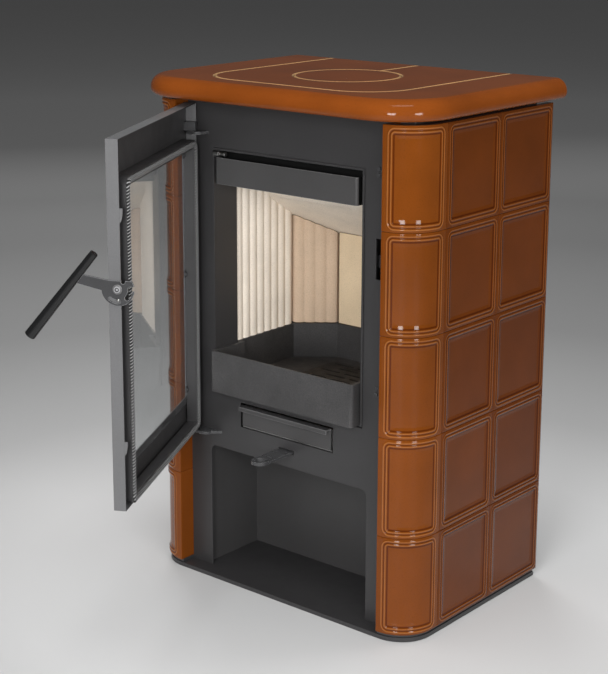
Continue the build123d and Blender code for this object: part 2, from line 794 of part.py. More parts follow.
save("crown_frame", crown_body() - raise_plan(insert_plan(0), top_plate_top, crown_top))
insert = raise_plan(insert_plan(crown_joint), top_plate_top, crown_top)
seat_height = crown_top - lid_thickness
insert -= upright(0, 0, lid_radius + crown_joint, seat_height, crown_top)
insert -= upright(0, 0, lid_radius - lid_seat, top_plate_top, seat_height)
slit_end = body_depth / 2 + crown_back
insert -= block(-crown_slit / 2, crown_slit / 2, 0, slit_end, top_plate_top, crown_top)
save("crown_insert", insert)
save("crown_lid", upright(0, 0, lid_radius, seat_height, crown_top))


# ================================================================ hinges
hinge_x, hinge_y = -tile_inner_x + hinge_inset, at(hinge_depth)
bracket_low_top = door_bottom - bracket_gap
bracket_top_height = door_top - bracket_drop
bracket_tops = (bracket_low_top, bracket_top_height + bracket_thickness)


def hinge_bracket(top, reach, foot):
    """A flat bracket with a round nose about the hinge pin, welded to the front plate."""
    end = hinge_x + reach
    nose = make_hull(
        (Pos(hinge_x, hinge_y) * Circle(bracket_nose)).edges()
        + (Pos(end, hinge_y) * Circle(bracket_nose)).edges()
    )
    root = Polyline(
        (hinge_x - bracket_nose, hinge_y), (end + bracket_nose, hinge_y),
        (end + bracket_nose + foot, panel_y), (hinge_x - bracket_nose, panel_y), close=True,
    )
    plate = raise_plan(nose + make_face(root), top - bracket_thickness, top)
    plate -= block(-body_width, 0, panel_y, panel_y + body_depth, 0, crown_top)
    return plate - upright(hinge_x, hinge_y, pin_radius, top - bracket_thickness, top)


bush_heights = (door_bottom + door_sheet, bracket_tops[1] + bush_gap)
pins = []
for top, bush in zip(bracket_tops, bush_heights):
    low = top - bracket_thickness - pin_tail
    pins.append(upright(hinge_x, hinge_y, pin_radius, low, bush + bush_length))
collar_top = door_bottom - collar_gap
collar = upright(hinge_x, hinge_y, pin_radius + collar_width, bracket_low_top, collar_top)
save(
    "hinge_brackets",
    *[hinge_bracket(*values) for values in zip(bracket_tops, bracket_reach, bracket_foot)],
)
save("hinge_pins", pins[0] + collar, pins[1])


# ================================================================ door, drawn closed, then swung open
frame_half_width = opening_width / 2 + rope_beside
frame_bottom = drawer_bottom - rope_below
frame_top = opening_z + rope_above
window_bottom = frame_bottom + window_rise
window_top = frame_top - window_drop


def open_door(part):
    """Swing a door piece from its closed place to where the door stands."""
    axis = Axis((hinge_x, hinge_y, 0), (0, 0, 1))
    return part.rotate(axis, -door_open_angle)


def door_panel():
    """The folded door: outer sheet with its window, and a flange on all four sides."""
    panel = block(door_left, door_right, door_y, door_edge, door_bottom, door_top)
    panel -= block(
        door_left + door_sheet, door_right - door_sheet, door_inside, door_edge,
        door_bottom + door_sheet, door_top - door_sheet,
    )
    half = frame_half_width - window_inset
    panel -= block(-half, half, door_y, door_inside, window_bottom, window_top)
    notch_low = bracket_top_height - notch_gap
    notch_high = bracket_top_height + bracket_thickness + notch_gap
    panel -= block(
        door_left, door_left + door_sheet, door_inside, door_edge, notch_low, notch_high
    )
    bore_radius = pin_radius + flange_hole_gap
    bore = upright(hinge_x, hinge_y, bore_radius, door_bottom, door_bottom + door_sheet)
    bolt_hole = along_x(
        at(latch_depth), latch_height, bolt_radius, door_right - door_sheet, door_right
    )
    return panel - bore - bolt_hole


save("door_panel", open_door(door_panel()))


def door_frame():
    """The inner frame: a channel for the rope seal, welded to the door panel."""
    outer = channel_width / 2
    reach = door_y + frame_reach
    web = reach - channel_depth
    outer_wall = ring_plate(
        frame_half_width + outer, frame_bottom - outer, frame_top + outer,
        frame_wall, door_inside, reach, frame_corner,
    )
    web_ring = ring_plate(
        frame_half_width + outer, frame_bottom - outer, frame_top + outer,
        channel_width, web, web + frame_wall, frame_corner,
    )
    inner = outer - frame_wall
    inner_wall = ring_plate(
        frame_half_width - inner, frame_bottom + inner, frame_top - inner,
        frame_wall, door_inside + glass_thickness, reach, frame_corner - channel_width + frame_wall,
    )
    return outer_wall + web_ring + inner_wall


save("door_frame", open_door(door_frame()))


def rope_seal():
    """The rope in its channel, from the channel's floor to just short of the front plate."""
    floor = door_y + frame_reach - channel_depth + frame_wall
    half = rope_width / 2
    ring = ring_plate(
        frame_half_width + half, frame_bottom - half, frame_top + half,
        rope_width, floor, panel_y - rope_gap, frame_corner - (channel_width - rope_width) / 2,
    )
    rim_edges = ring.faces().sort_by(Axis.Y)[-1].edges()
    return fillet(rim_edges, rope_round)


save("rope_seal", open_door(rope_seal()))

glass_half = frame_half_width - channel_width / 2 + glass_lap
glass_top = frame_top - channel_width / 2 + glass_lap
glass_back = door_inside + glass_thickness
glass_bottom = window_bottom - glass_drop
door_glass = block(-glass_half, glass_half, door_inside, glass_back, glass_bottom, glass_top)
save("door_glass", open_door(door_glass))


def glass_clips():
    """Small clips with screws that hold the glass to the inner frame."""
    length, width, thick = clip_size
    head_radius, head_height = clip_screw
    edge = frame_half_width - channel_width / 2
    top = glass_back + thick
    low, high = window_bottom + clip_ends[0], window_top - clip_ends[1]
    clips = []
    for z in (low, (low + high) / 2, high):
        clip = block(edge - width, edge, glass_back, top, z - length / 2, z + length / 2)
        screw = along_y(edge - width / 2, z, head_radius, top, top + head_height)
        clips += both_sides(clip + screw)
    return clips


save("glass_clips", *[open_door(clip) for clip in glass_clips()])


def door_bush(z0):
    """A bush block on the door panel that turns on a hinge pin."""
    left, right = hinge_x - bush_half, hinge_x + bush_half
    body = block(left, right, door_inside, hinge_y + bush_half, z0, z0 + bush_length)
    bore = upright(hinge_x, hinge_y, pin_radius + pin_clearance, z0, z0 + bush_length)
    return body - bore


save("door_bushes", *[open_door(door_bush(z)) for z in bush_heights])


# ================================================================ latch and handle, at the closed door
pivot_y, pivot_z = at(latch_depth), latch_height


def about_pivot(angle, radius):
    """A point of the Y-Z plane at an angle and radius about the latch pivot."""
    return pivot_y + radius * cos(radians(angle)), pivot_z + radius * sin(radians(angle))


def arc_slot(start, end, radius, width):
    """A curved slot about the latch pivot from one angle to another."""
    middle = CenterArc((pivot_y, pivot_z), radius, start, end - start)
    return SlotArc(middle, width)


rod_angle = latch_turn       # how far the lifted rod leans from the upright
rod_heading = (-sin(radians(rod_angle)), -cos(radians(rod_angle)))
rod_side = (-cos(radians(rod_angle)), sin(radians(rod_angle)))
rod_foot = (pivot_y + rod_offset * rod_side[0], pivot_z + rod_offset * rod_side[1])


def on_rod(distance):
    """A point on the rod's axis, a distance down from the foot of the pivot's perpendicular."""
    return rod_foot[0] + distance * rod_heading[0], rod_foot[1] + distance * rod_heading[1]


def handle_rod():
    """The tapered round rod of the handle, lifted with its thick end away from the door."""
    centre_x = (arm_x + arm_end) / 2
    top, end = on_rod(-rod_top), on_rod(rod_length - rod_top)
    middle = Pos(centre_x, (top[0] + end[0]) / 2, (top[1] + end[1]) / 2)
    rod = Cone(rod_radii[1], rod_radii[0], rod_length)
    rod = fillet(rod.edges().filter_by(GeomType.CIRCLE), rod_edge)
    return middle * Rot(-rod_angle, 0, 0) * rod


def latch_arm():
    """The flat arm with its claw: a mouth and a curved channel for the catch pin."""
    claw = Pos(pivot_y, pivot_z) * Circle(claw_radius)
    claw &= Pos(pivot_y, pivot_z + claw_top - claw_radius) * Rectangle(
        2 * claw_radius, 2 * claw_radius
    )
    arm = Polyline(
        on_rod(arm_span[0]), on_rod(arm_span[1]),
        (pivot_y + arm_low[0], pivot_z + arm_low[1]), about_pivot(*arm_root),
        about_pivot(*arm_inside), (pivot_y - claw_top, pivot_z + claw_top), close=True,
    )
    along, up, notch_radius = claw_notch
    notch = Pos(pivot_y + along, pivot_z + up) * Circle(notch_radius)
    channel_half = catch_pin_radius + catch_slack
    pin_y, pin_z = about_pivot(catch_angle, catch_radius)
    mouth = Pos(pin_y + claw_radius / 2, pin_z) * Rectangle(claw_radius, 2 * channel_half)
    channel_end = catch_angle - latch_turn - catch_run_on
    channel = arc_slot(catch_angle, channel_end, catch_radius, 2 * channel_half)
    stop_half = stop_pin_radius + stop_slack
    crescent = arc_slot(
        stop_angle + stop_run_on, stop_angle - latch_turn - stop_run_on, catch_radius, 2 * stop_half
    )
    bore = Pos(pivot_y, pivot_z) * Circle(bolt_radius + pin_clearance)
    plan = claw + make_face(arm) - notch - mouth - channel - crescent - bore
    return side_plate(plan, arm_x, arm_end) - handle_rod()


save("latch_arm", open_door(latch_arm()))
save("handle_rod", open_door(handle_rod()))


def latch_bolt():
    """The pivot bolt with washer and head, and the stop pin, both fixed to the door's edge."""
    washer_radius, washer_thick = washer
    head_radius, head_height = bolt_head
    start = arm_end + washer_gap
    bolt = along_x(pivot_y, pivot_z, bolt_radius, door_right - door_sheet - bolt_tail, start)
    bolt += along_x(pivot_y, pivot_z, washer_radius, start, start + washer_thick)
    start += washer_thick
    bolt += along_x(pivot_y, pivot_z, head_radius, start, start + head_height)
    stop_y, stop_z = about_pivot(stop_angle, catch_radius)
    stop = along_x(stop_y, stop_z, stop_pin_radius, door_right, arm_end + stop_proud)
    return [bolt, stop]


save("latch_bolt", *[open_door(part) for part in latch_bolt()])


def catch_bracket():
    """The catch behind the latch slot: two cheeks that hold the catch pin, on a bridge."""
    pin_y, pin_z = about_pivot(catch_angle, catch_radius)
    right = slot_right - cheek_gap
    left = right - cheek_pitch
    cheek_front = panel_y
    back = panel_back + bridge_depth
    z0, z1 = pin_z - cheek_height / 2, pin_z + cheek_height / 2
    bracket = block(left, left + cheek, cheek_front, back, z0, z1)
    bracket += block(right - cheek, right, cheek_front, back, z0, z1)
    outer_left, outer_right = slot_left - bridge_foot, slot_right + bridge_foot
    bracket += block(outer_left, outer_right, back, back + bridge, z0, z1)
    for x in (outer_left, outer_right - bridge):
        bracket += block(x, x + bridge, panel_back, back, z0, z1)
    return bracket + along_x(pin_y, pin_z, catch_pin_radius, left, right)


save("catch_bracket", catch_bracket())


# ================================================================ ash drawer
def ash_pan():
    """The ash pan, an open box of sheet."""
    half = drawer_width / 2 - drawer_gap
    z0, z1 = drawer_bottom + drawer_slide_gap, drawer_top - drawer_gap - pan_drop
    y0, y1 = panel_y + sheet, panel_y + drawer_depth
    pan = block(-half, half, y0, y1, z0, z1)
    return pan - block(-half + sheet, half - sheet, y0 + sheet, y1 - sheet, z0 + sheet, z1)


def drawer_front():
    """The drawer's front with the folded lip that serves as its handle."""
    half = drawer_width / 2 - drawer_gap
    z0, z1 = drawer_bottom + drawer_gap, drawer_top - drawer_gap
    plate = block(-half, half, panel_y, panel_y + sheet, z0, z1)
    lip_half = half - lip_inset
    lip_reach, lip_drop = drawer_lip
    lip = block(-lip_half, lip_half, panel_y - lip_reach, panel_y, z1 - sheet, z1)
    lip += block(
        -lip_half, lip_half, panel_y - lip_reach, panel_y - lip_reach + sheet, z1 - lip_drop, z1
    )
    return plate + lip


save("ash_pan", ash_pan())
save("drawer_front", drawer_front())


# ================================================================ combustion air
air_hole_y = panel_back + air_hole_depth


def air_box():
    """The air channel under the drawer, with the valve plate that the slide covers."""
    half = drawer_width / 2 + drawer_gap + floor_flange
    back = panel_back + drawer_depth + drawer_back_gap
    top, bottom = drawer_bottom - sheet, wood_box_top + 2 * sheet
    box = block(-half, half, panel_back, back, bottom, top)
    box -= block(-half + sheet, half - sheet, panel_back, back - sheet, bottom, top)
    valve_top = lever_bottom - sheet - slide_gap
    valve = block(-half, half, panel_back, back, valve_top - sheet, valve_top)
    for i in (-1, 0, 1):
        x = i * air_hole_pitch
        valve -= upright(x, air_hole_y, air_hole_radius, valve_top - sheet, valve_top)
    return box + valve


save("air_box", air_box())


def air_slide():
    """The sliding plate with holes that match the valve plate's when the lever is out."""
    half = air_hole_pitch + air_hole_radius + slide_margin
    y0 = air_hole_y - air_hole_radius - slide_margin
    y1 = air_hole_y + air_hole_radius + lever_travel
    slide = block(-half, half, y0, y1, lever_bottom - sheet, lever_bottom)
    for i in (-1, 0, 1):
        slide -= upright(
            i * air_hole_pitch, air_hole_y, air_hole_radius, lever_bottom - sheet, lever_bottom
        )
    return slide


save("air_slide", air_slide())

lever_half = lever_width / 2
eye_y = at(-lever_out) + lever_half


def air_lever():
    """The flat lever that pushes and pulls the air slide."""
    bar = block(-lever_half, lever_half, eye_y, at(lever_inside), lever_bottom, lever_top)
    bar -= upright(0, eye_y, lever_half, lever_bottom, lever_top)
    return bar - upright(0, air_hole_y, air_hole_radius, lever_bottom, lever_top)


def lever_eye():
    """The ring at the lever's tip that takes a finger or a hook."""
    low, high = lever_bottom - eye_rim, lever_top + eye_rim
    return upright(0, eye_y, lever_half, low, high) - upright(0, eye_y, eye_radius, low, high)


save("air_lever", air_lever(), lever_eye())


# ================================================================ small screws of the front plate
screws = []
screw_x = opening_width / 2 + screw_beside
for drop in screw_drops:
    for z in (opening_z - drop - screw_spread, opening_z - drop + screw_spread):
        screws.append(along_y(screw_x, z, screw_radius, panel_y - screw_height, panel_y))
save("front_screws", *screws)
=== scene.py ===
import json
import math
import bmesh
import bpy
import numpy as np
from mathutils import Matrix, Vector


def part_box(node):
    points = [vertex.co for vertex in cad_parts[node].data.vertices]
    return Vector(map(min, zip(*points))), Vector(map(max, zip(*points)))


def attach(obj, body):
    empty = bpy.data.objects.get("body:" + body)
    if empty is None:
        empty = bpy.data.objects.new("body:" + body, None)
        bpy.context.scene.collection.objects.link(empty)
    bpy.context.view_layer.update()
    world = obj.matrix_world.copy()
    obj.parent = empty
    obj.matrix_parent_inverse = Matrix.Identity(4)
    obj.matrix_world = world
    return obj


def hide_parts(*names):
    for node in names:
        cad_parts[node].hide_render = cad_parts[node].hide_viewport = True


# The dressed look of the tiled wood stove. Lengths are in metres, or in millimetres where a
# name ends in _mm or _MM; angles are in degrees where nothing else is said.
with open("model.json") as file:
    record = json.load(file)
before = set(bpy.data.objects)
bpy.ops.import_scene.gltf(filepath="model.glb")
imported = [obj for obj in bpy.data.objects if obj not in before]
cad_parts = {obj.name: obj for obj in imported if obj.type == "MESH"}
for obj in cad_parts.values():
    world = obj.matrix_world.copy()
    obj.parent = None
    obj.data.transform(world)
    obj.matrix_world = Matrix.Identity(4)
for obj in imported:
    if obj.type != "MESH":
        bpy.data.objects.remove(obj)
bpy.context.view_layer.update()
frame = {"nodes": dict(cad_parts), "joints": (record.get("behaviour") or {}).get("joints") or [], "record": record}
MM = 0.001

# ------------------------ camera and stage
IMAGE_HEIGHT = 674           # pixels
CAMERA_PLACE = (1.7689, -2.2454, 1.2649)
CAMERA_TURN = (76.984, -0.056, 40.374)      # about X, Y and Z
CAMERA_FOCUS = 1607.3        # focal length in pixels
CAMERA_SHIFT = (16.4, -80.0)                # pixels, right and up
SENSOR_MM = 36.0
FLOOR_RADIUS = 30.0
FLOOR_FADE = 20.0            # distance from the stove that the stops below are shares of
# the floor's grey by that share: darker where the lamps are near, paler further out
FLOOR_STOPS = (
    (0.03, 0.60), (0.05, 0.40), (0.09, 0.26), (0.15, 0.22), (0.19, 0.28), (0.255, 0.60),
    (0.35, 0.90), (0.50, 0.95),
)
LAMP_AIM = (0.0, 0.0, 0.45)
# name, azimuth, elevation, distance, size, level and whether reflections show it
LAMPS = (
    ("key_lamp", 18.0, 22.0, 3.4, (1.4, 1.4), 0.48, False),
    ("camera_side_lamp", 52.0, 12.0, 3.4, (1.4, 1.4), 0.27, False),
    ("left_strobe", 26.0, 8.0, 3.4, (0.70, 0.70), 0.26, True),
    ("right_strobe", 68.0, 8.0, 3.4, (0.70, 0.70), 0.20, True),
    ("hair_lamp", 48.0, 66.0, 3.2, (1.2, 0.5), 0.07, True),
    ("top_lamp", 20.0, 78.0, 3.2, (2.2, 2.2), 0.50, False),
    ("left_fill", -60.0, 20.0, 4.0, (2.0, 2.0), 0.16, False),
    ("back_left_fill", -130.0, 35.0, 4.0, (2.0, 2.0), 0.40, False),
    ("back_right_fill", 150.0, 35.0, 4.0, (2.0, 2.0), 0.30, False),
)
WORLD_LEVEL = 0.05

# ------------------------ tiled body, as in the solids
BODY_WIDTH_MM = 605.0
TILE_ROWS = 5
CORNER_RADIUS_MM = 68.0
TILE_THICKNESS_MM = 14.0
CORNER_LEG_MM = 12.0
LEG_EDGE_MM = 2.5            # rounding where the corner tile turns back to the front plate
LEG_EDGE_SHARES = (0.25, 0.5, 0.75, 1.0)    # places round that edge
LEG_PLACES_MM = (8.0, 16.0, 24.0, 32.0)     # places along the part that turns back
LEG_STRIP_MM = 3.0           # strip of the front beside it that has no moulding
TILE_JOINT_MM = 1.0          # between two columns
TILE_GROWTH_MM = 0.25        # a tile's face, past the plain solid into the joint
MIDDLE_TILE_MM = 155.0       # width of the middle column's tiles
# distance from a tile's edge and height there: border, bead, groove, bead, slope and field
MOULDING_MM = (
    (0.0, -1.9), (0.5, -1.0), (2.4, -0.9), (5.0, 0.15), (8.1, -1.4), (11.2, 0.0),
    (13.8, -1.55), (21.8, -2.9),
)
MOULDING_SOFTNESS_MM = 0.45  # how far its corners are rounded
MOULDING_STEP_MM = 0.05
RIM_MM, BORDER_MM = 1.0, 2.0                # the tile's straight rim, and the border with it
CORNER_RIM_MM = 1.01         # least distance in a rounded corner, just past the rim
FIELD_MATCH_MM = 0.01        # a height this close to the field's is the field's
RIM_SHADE_MM = 0.6           # width of the rim's own shade
RIM_PLACES_MM = (0.0, 0.12, 0.35, 0.65)     # places across the rim
MOULDING_PLACES_MM = 0.85    # distance between places across the moulding
FIELD_START_MM, FIELD_PLACES = 22.5, 12
FIELD_CROWN_MM = 0.25        # how far the field swells towards its middle
BEAD_CORNER_MM = 17.0        # plan radius of the moulding's corners
CORNER_SIDE_MARGIN_MM = 5.5  # the corner tiles' upright beads stand this much further in
CORNER_TONES = (0.82, 1.0)   # lightness of the glaze, drawn for each tile
# the side tiles' tones come from a darker range: painted shade on the sides, which the lamps light less, on top of
# each tile's random tone
SIDE_TONES_WITH_PAINTED_SHADE = (0.32, 0.48)
TONE_SEED = 7
# distance from a tile's edge, half width and shade: bead, groove, bead and foot of the slope
GLAZE_BANDS_MM = (
    (5.1, 1.6, 0.95), (8.1, 1.7, 0.05), (11.2, 1.7, 0.90), (14.8, 2.4, 0.0),
)
# shades run from 0, where the glaze pools, to 1, where it is thin
PLAIN_SHADE, EDGE_SHADE, RIM_SHADE, BACK_SHADE = 0.45, 1.0, 0.3, 0.4

# ------------------------ crown, as in the solids
CROWN_HALF_MM, CROWN_FRONT_MM, CROWN_BACK_MM = 320.0, -238.5, 216.0
CROWN_BOTTOM_MM, CROWN_TOP_MM = 900.0, 936.0
CROWN_CORNER_MM = 110.0
CROWN_TOP_ROUND_MM, CROWN_BOTTOM_ROUND_MM = 23.0, 12.0
INSERT_HALF_MM, INSERT_FRONT_MM, INSERT_CORNER_MM = 205.0, -182.5, 92.0
INSERT_GAP_MM = 1.2
LID_RADIUS_MM, LID_BOTTOM_MM, LID_LEDGE_MM = 95.0, 912.0, 84.0
SLIT_HALF_MM = 0.8
EDGE_ROUND_MM = 2.4          # rounded edges along the crown's joints
EDGE_FADE_MM = 1.0           # over which the thin glaze on them darkens again
END_STEP_MM = 0.6            # distance of a second section from the crown's plain ends
CROWN_STEPS = (12, 24, 16)   # sections along a side, round a corner and along the front
TOP_ROUND_STEPS, BOTTOM_ROUND_STEPS, JOINT_ROUND_STEPS, BACK_STEPS = 12, 8, 4, 12
LID_STEPS = 96
LID_RINGS = (0.9, 0.5, 0.0)  # shares of the lid's radius
FRAME_TONE, INSERT_TONE = 0.9, 0.85

# ------------------------ door's free edge and rope, with the door closed
DOOR_EDGE_MM = 221.2         # outer face of the door's free edge
DOOR_SHEET_MM = 1.7
FLANGE_END_MM = -178.5       # y of the free edge's inner end
PIVOT_Y_MM, PIVOT_Z_MM = -182.9, 651.0
ARM_END_MM = 225.2           # outer face of the latch arm
# radius and distance out from the arm: washer, head, groove and middle
BOLT_SECTION_MM = (
    (4.0, 0.2), (8.0, 0.2), (8.0, 1.1), (7.6, 1.4), (5.3, 1.4), (5.2, 3.3), (4.7, 3.8),
    (3.5, 3.8), (3.3, 2.9), (2.0, 2.9), (1.8, 3.7), (0.0, 3.8),
)
# the groove in the head gets the near-black inner paint, a painted shade; the head's light paint is partly a
# painted highlight
BOLT_KINDS = (0, 0, 0, 0, 0, 1, 1, 1, 2, 2, 1, 1)           # material of each of its parts
PIN_SECTION_MM = ((2.5, 0.6), (2.0, 1.0), (0.0, 1.0))       # the stop pin's end
PIN_ANGLE, PIN_REACH_MM = -88.0, 17.5       # its place about the pivot
BOLT_STEPS, PIN_STEPS = 48, 32
LUG_HEIGHTS_MM = (767.0, 387.0)
LUG_MM = ((-12.0, 0.0), (-7.0, 3.2), (5.0, 5.2), (12.0, 5.2), (12.0, 0.0))  # up, and outward
LUG_ROUND_MM = 0.3
ROPE_X_MM, ROPE_Y_MM = 193.2, -174.2        # its middle: half the ring's width, and the depth
ROPE_LOW_MM, ROPE_HIGH_MM, ROPE_CORNER_MM = 290.5, 817.0, 9.7
ROPE_HALF_MM = (4.7, 5.0)    # half its thickness, across and deep
ROPE_STRANDS = 3
ROPE_PITCH_MM = 15.6
ROPE_STEP_MM = 0.65
ROPE_ROUND = 15              # points round the rope
ROPE_TWIST_DEPTH = 0.22
ROPE_CREST_POWER = 5            # the higher, the narrower the pale crest of each strand, a painted highlight

# ------------------------ rounded edges of the other pieces
FINE_EDGE_MM = 0.4           # linings of sheet, pins, clips and screws
SHEET_EDGE_MM = 0.5
FRONT_EDGE_MM = 1.1          # front plate and drawer front
DEFLECTOR_EDGE_MM = 0.9
FORGED_EDGE_MM = 1.4         # hinge brackets and air lever
ARM_EDGE_MM = 0.8
CLAY_EDGE_MM, CLAY_CORNER = 1.8, 70.0       # and the least angle of an edge there
BOWL_EDGE_MM, GRATE_EDGE_MM = 2.2, 0.8
DEFLECTOR_FACE_MM = 4.0      # depth of its front face with the rounded edges
DRAWER_GAP_MM = 5.0          # reach of the near-black paint round the drawer front's gap: painted shade
DRAWER_LIP_MM = 13.0         # reach of the drawer's lip in front of its face
DRAWER_SIDE_MM = 1.2         # margin that holds its rounded edges
GAP_FACE = 0.0006            # square metres; the front plate's faces in that gap are smaller
SMALL_PART_MM = 40.0         # longest side of a small part
FACING = 0.9                 # a face with more of its normal along a direction faces that way

# ------------------------ mesh work
WELD = 1e-6                  # points nearer than this become one
CAD_WELD = 2e-6              # the same for the frame's meshes
FLAT_ANGLE = 0.4             # faces that meet at less become one
SHARP_ANGLE, GLAZED_SHARP, SOLID_SHARP, ROPE_SHARP = 38.0, 50.0, 40.0, 80.0


# ======================== materials
def new_material(name):
    """A material with its principled shader; returns the material, its node tree and the shader."""
    material = bpy.data.materials.new(name)
    material.use_nodes = True
    tree = material.node_tree
    return material, tree, tree.nodes["Principled BSDF"]


def place(tree):
    """The object's own coordinates, in metres."""
    return tree.nodes.new("ShaderNodeTexCoord").outputs["Object"]


def stored(tree, name):
    """The value that set_values stored under this name."""
    node = tree.nodes.new("ShaderNodeAttribute")
    node.attribute_name = name
    return node.outputs["Fac"]


def noise(tree, scale, detail=3.0, roughness=0.5):
    """Soft noise from 0 to 1; the scale is in waves to the metre."""
    node = tree.nodes.new("ShaderNodeTexNoise")
    node.inputs["Scale"].default_value = scale
    node.inputs["Detail"].default_value = detail
    node.inputs["Roughness"].default_value = roughness
    tree.links.new(place(tree), node.inputs["Vector"])
    return node.outputs["Fac"]


def spots(tree, scale):
    """Distance to the nearest of many random points."""
    node = tree.nodes.new("ShaderNodeTexVoronoi")
    node.inputs["Scale"].default_value = scale
    tree.links.new(place(tree), node.inputs["Vector"])
    return node.outputs["Distance"]


def ramp(tree, value, *stops):
    """A colour ramp over a value; each stop is (position, colour or grey)."""
    node = tree.nodes.new("ShaderNodeValToRGB")
    elements = node.color_ramp.elements
    while len(elements) < len(stops):
        elements.new(0.5)
    for element, (position, colour) in zip(elements, stops):
        if isinstance(colour, float):
            colour = (colour, colour, colour)
        element.position = position
        element.color = (*colour, 1.0)
    tree.links.new(value, node.inputs["Fac"])
    return node.outputs["Color"]


def mix(tree, kind, factor, first, second):
    """Blend two colours; the factor and either colour may be a value or another node's output."""
    node = tree.nodes.new("ShaderNodeMix")
    node.data_type = "RGBA"
    node.blend_type = kind
    for number, value in ((0, factor), (6, first), (7, second)):    # the sockets for colours
        socket = node.inputs[number]
        if isinstance(value, bpy.types.NodeSocket):
            tree.links.new(value, socket)
        else:
            socket.default_value = value if isinstance(value, float) else (*value, 1.0)
    return node.outputs[2]


def bump(tree, shader, height, distance, strength=1.0):
    """Raise the surface by a height from 0 to 1 over a distance; further calls add to it."""
    node = tree.nodes.new("ShaderNodeBump")
    node.inputs["Distance"].default_value = distance
    node.inputs["Strength"].default_value = strength
    tree.links.new(height, node.inputs["Height"])
    before = shader.inputs["Normal"]
    if before.is_linked:
        tree.links.new(before.links[0].from_socket, node.inputs["Normal"])
    tree.links.new(node.outputs["Normal"], before)


def glaze_material(name, ground, ridge, pool):
    """Clear caramel glaze: thin and light on raised edges, thick and dark where it pools."""
    material, tree, shader = new_material(name)
    by_relief = ramp(
        tree, stored(tree, "relief"), (0.0, pool), (0.32, ground), (0.55, ground), (0.9, ridge)
    )
    clouds = ramp(tree, noise(tree, 9.0, 3.0), (0.3, 0.80), (0.7, 1.0))
    body = mix(tree, "MULTIPLY", 1.0, by_relief, clouds)
    # each piece's drawn tone, which on the side tiles also holds a painted shade
    tone_and_side_shade = ramp(tree, stored(tree, "tone"), (0.0, (0.42, 0.33, 0.35)), (1.0, 1.0))
    body = mix(tree, "MULTIPLY", 1.0, body, tone_and_side_shade)
    flecks = ramp(tree, noise(tree, 420.0, 2.0), (0.30, 0.86), (0.45, 1.0))
    tree.links.new(mix(tree, "MULTIPLY", 0.7, body, flecks), shader.inputs["Base Color"])
    rough = ramp(tree, noise(tree, 60.0, 4.0), (0.3, 0.05), (0.7, 0.09))
    tree.links.new(rough, shader.inputs["Roughness"])
    shader.inputs["Specular IOR Level"].default_value = 0.24
    bump(tree, shader, noise(tree, 45.0, 2.0), 0.0006, 0.12)
    bump(tree, shader, noise(tree, 9.0, 1.0), 0.002, 0.12)
    return material


def paint_material(name, colour, roughness, grain=0.00012, specular=0.5):
    """Satin stove paint: a fine grain, soft clouds in its sheen and a little dust."""
    material, tree, shader = new_material(name)
    dark = tuple(0.86 * c for c in colour)
    clouds = ramp(tree, noise(tree, 7.0, 4.0), (0.3, dark), (0.7, colour))
    dust = ramp(tree, noise(tree, 900.0, 2.0), (0.35, 0.9), (0.75, 1.12))
    tree.links.new(mix(tree, "MULTIPLY", 1.0, clouds, dust), shader.inputs["Base Color"])
    low, high = roughness - 0.05, roughness + 0.05
    rough = ramp(tree, noise(tree, 30.0, 4.0), (0.3, low), (0.7, high))
    tree.links.new(rough, shader.inputs["Roughness"])
    shader.inputs["Specular IOR Level"].default_value = specular
    bump(tree, shader, noise(tree, 1400.0, 2.0), grain, 0.6)
    return material


def cast_iron_material(name, pit, skin):
    """Cast iron: sandy skin, darker in its pits."""
    material, tree, shader = new_material(name)
    colour = ramp(tree, noise(tree, 500.0, 4.0, 0.6), (0.3, pit), (0.7, skin))
    stain = ramp(tree, noise(tree, 14.0, 4.0), (0.35, 0.8), (0.7, 1.1))
    tree.links.new(mix(tree, "MULTIPLY", 1.0, colour, stain), shader.inputs["Base Color"])
    rough = ramp(tree, noise(tree, 60.0, 3.0), (0.3, 0.5), (0.7, 0.64))
    tree.links.new(rough, shader.inputs["Roughness"])
    bump(tree, shader, noise(tree, 700.0, 3.0, 0.6), 0.0005, 0.6)
    bump(tree, shader, noise(tree, 60.0, 2.0), 0.0012, 0.2)
    return material


def fireclay_material(name, colour):
    """Pressed fireclay: cream ground with fine specks, pores and faint stains."""
    material, tree, shader = new_material(name)
    dark = tuple(0.88 * c for c in colour)
    ground = ramp(tree, noise(tree, 16.0, 5.0, 0.55), (0.3, dark), (0.7, colour))
    specks = ramp(tree, spots(tree, 330.0), (0.08, 0.55), (0.2, 1.0))
    light = ramp(tree, noise(tree, 520.0, 2.0), (0.38, 0.9), (0.62, 1.0))
    colour = mix(tree, "MULTIPLY", 0.8, ground, specks)
    tree.links.new(mix(tree, "MULTIPLY", 0.8, colour, light), shader.inputs["Base Color"])
    shader.inputs["Roughness"].default_value = 0.93
    shader.inputs["Specular IOR Level"].default_value = 0.25
    bump(tree, shader, noise(tree, 600.0, 4.0, 0.6), 0.0006, 0.5)
    bump(tree, shader, specks, 0.0005, 0.4)
    return material


def steel_material():
    """Bare steel: drawn grain and a few duller patches."""
    material, tree, shader = new_material("bare_steel")
    dull, bright = (0.34, 0.335, 0.33), (0.52, 0.515, 0.50)
    colour = ramp(tree, noise(tree, 40.0, 5.0), (0.3, dull), (0.7, bright))
    tree.links.new(colour, shader.inputs["Base Color"])
    shader.inputs["Metallic"].default_value = 1.0
    rough = ramp(tree, noise(tree, 300.0, 4.0), (0.3, 0.28), (0.7, 0.42))
    tree.links.new(rough, shader.inputs["Roughness"])
    bump(tree, shader, noise(tree, 900.0, 3.0), 0.0001, 0.5)
    return material


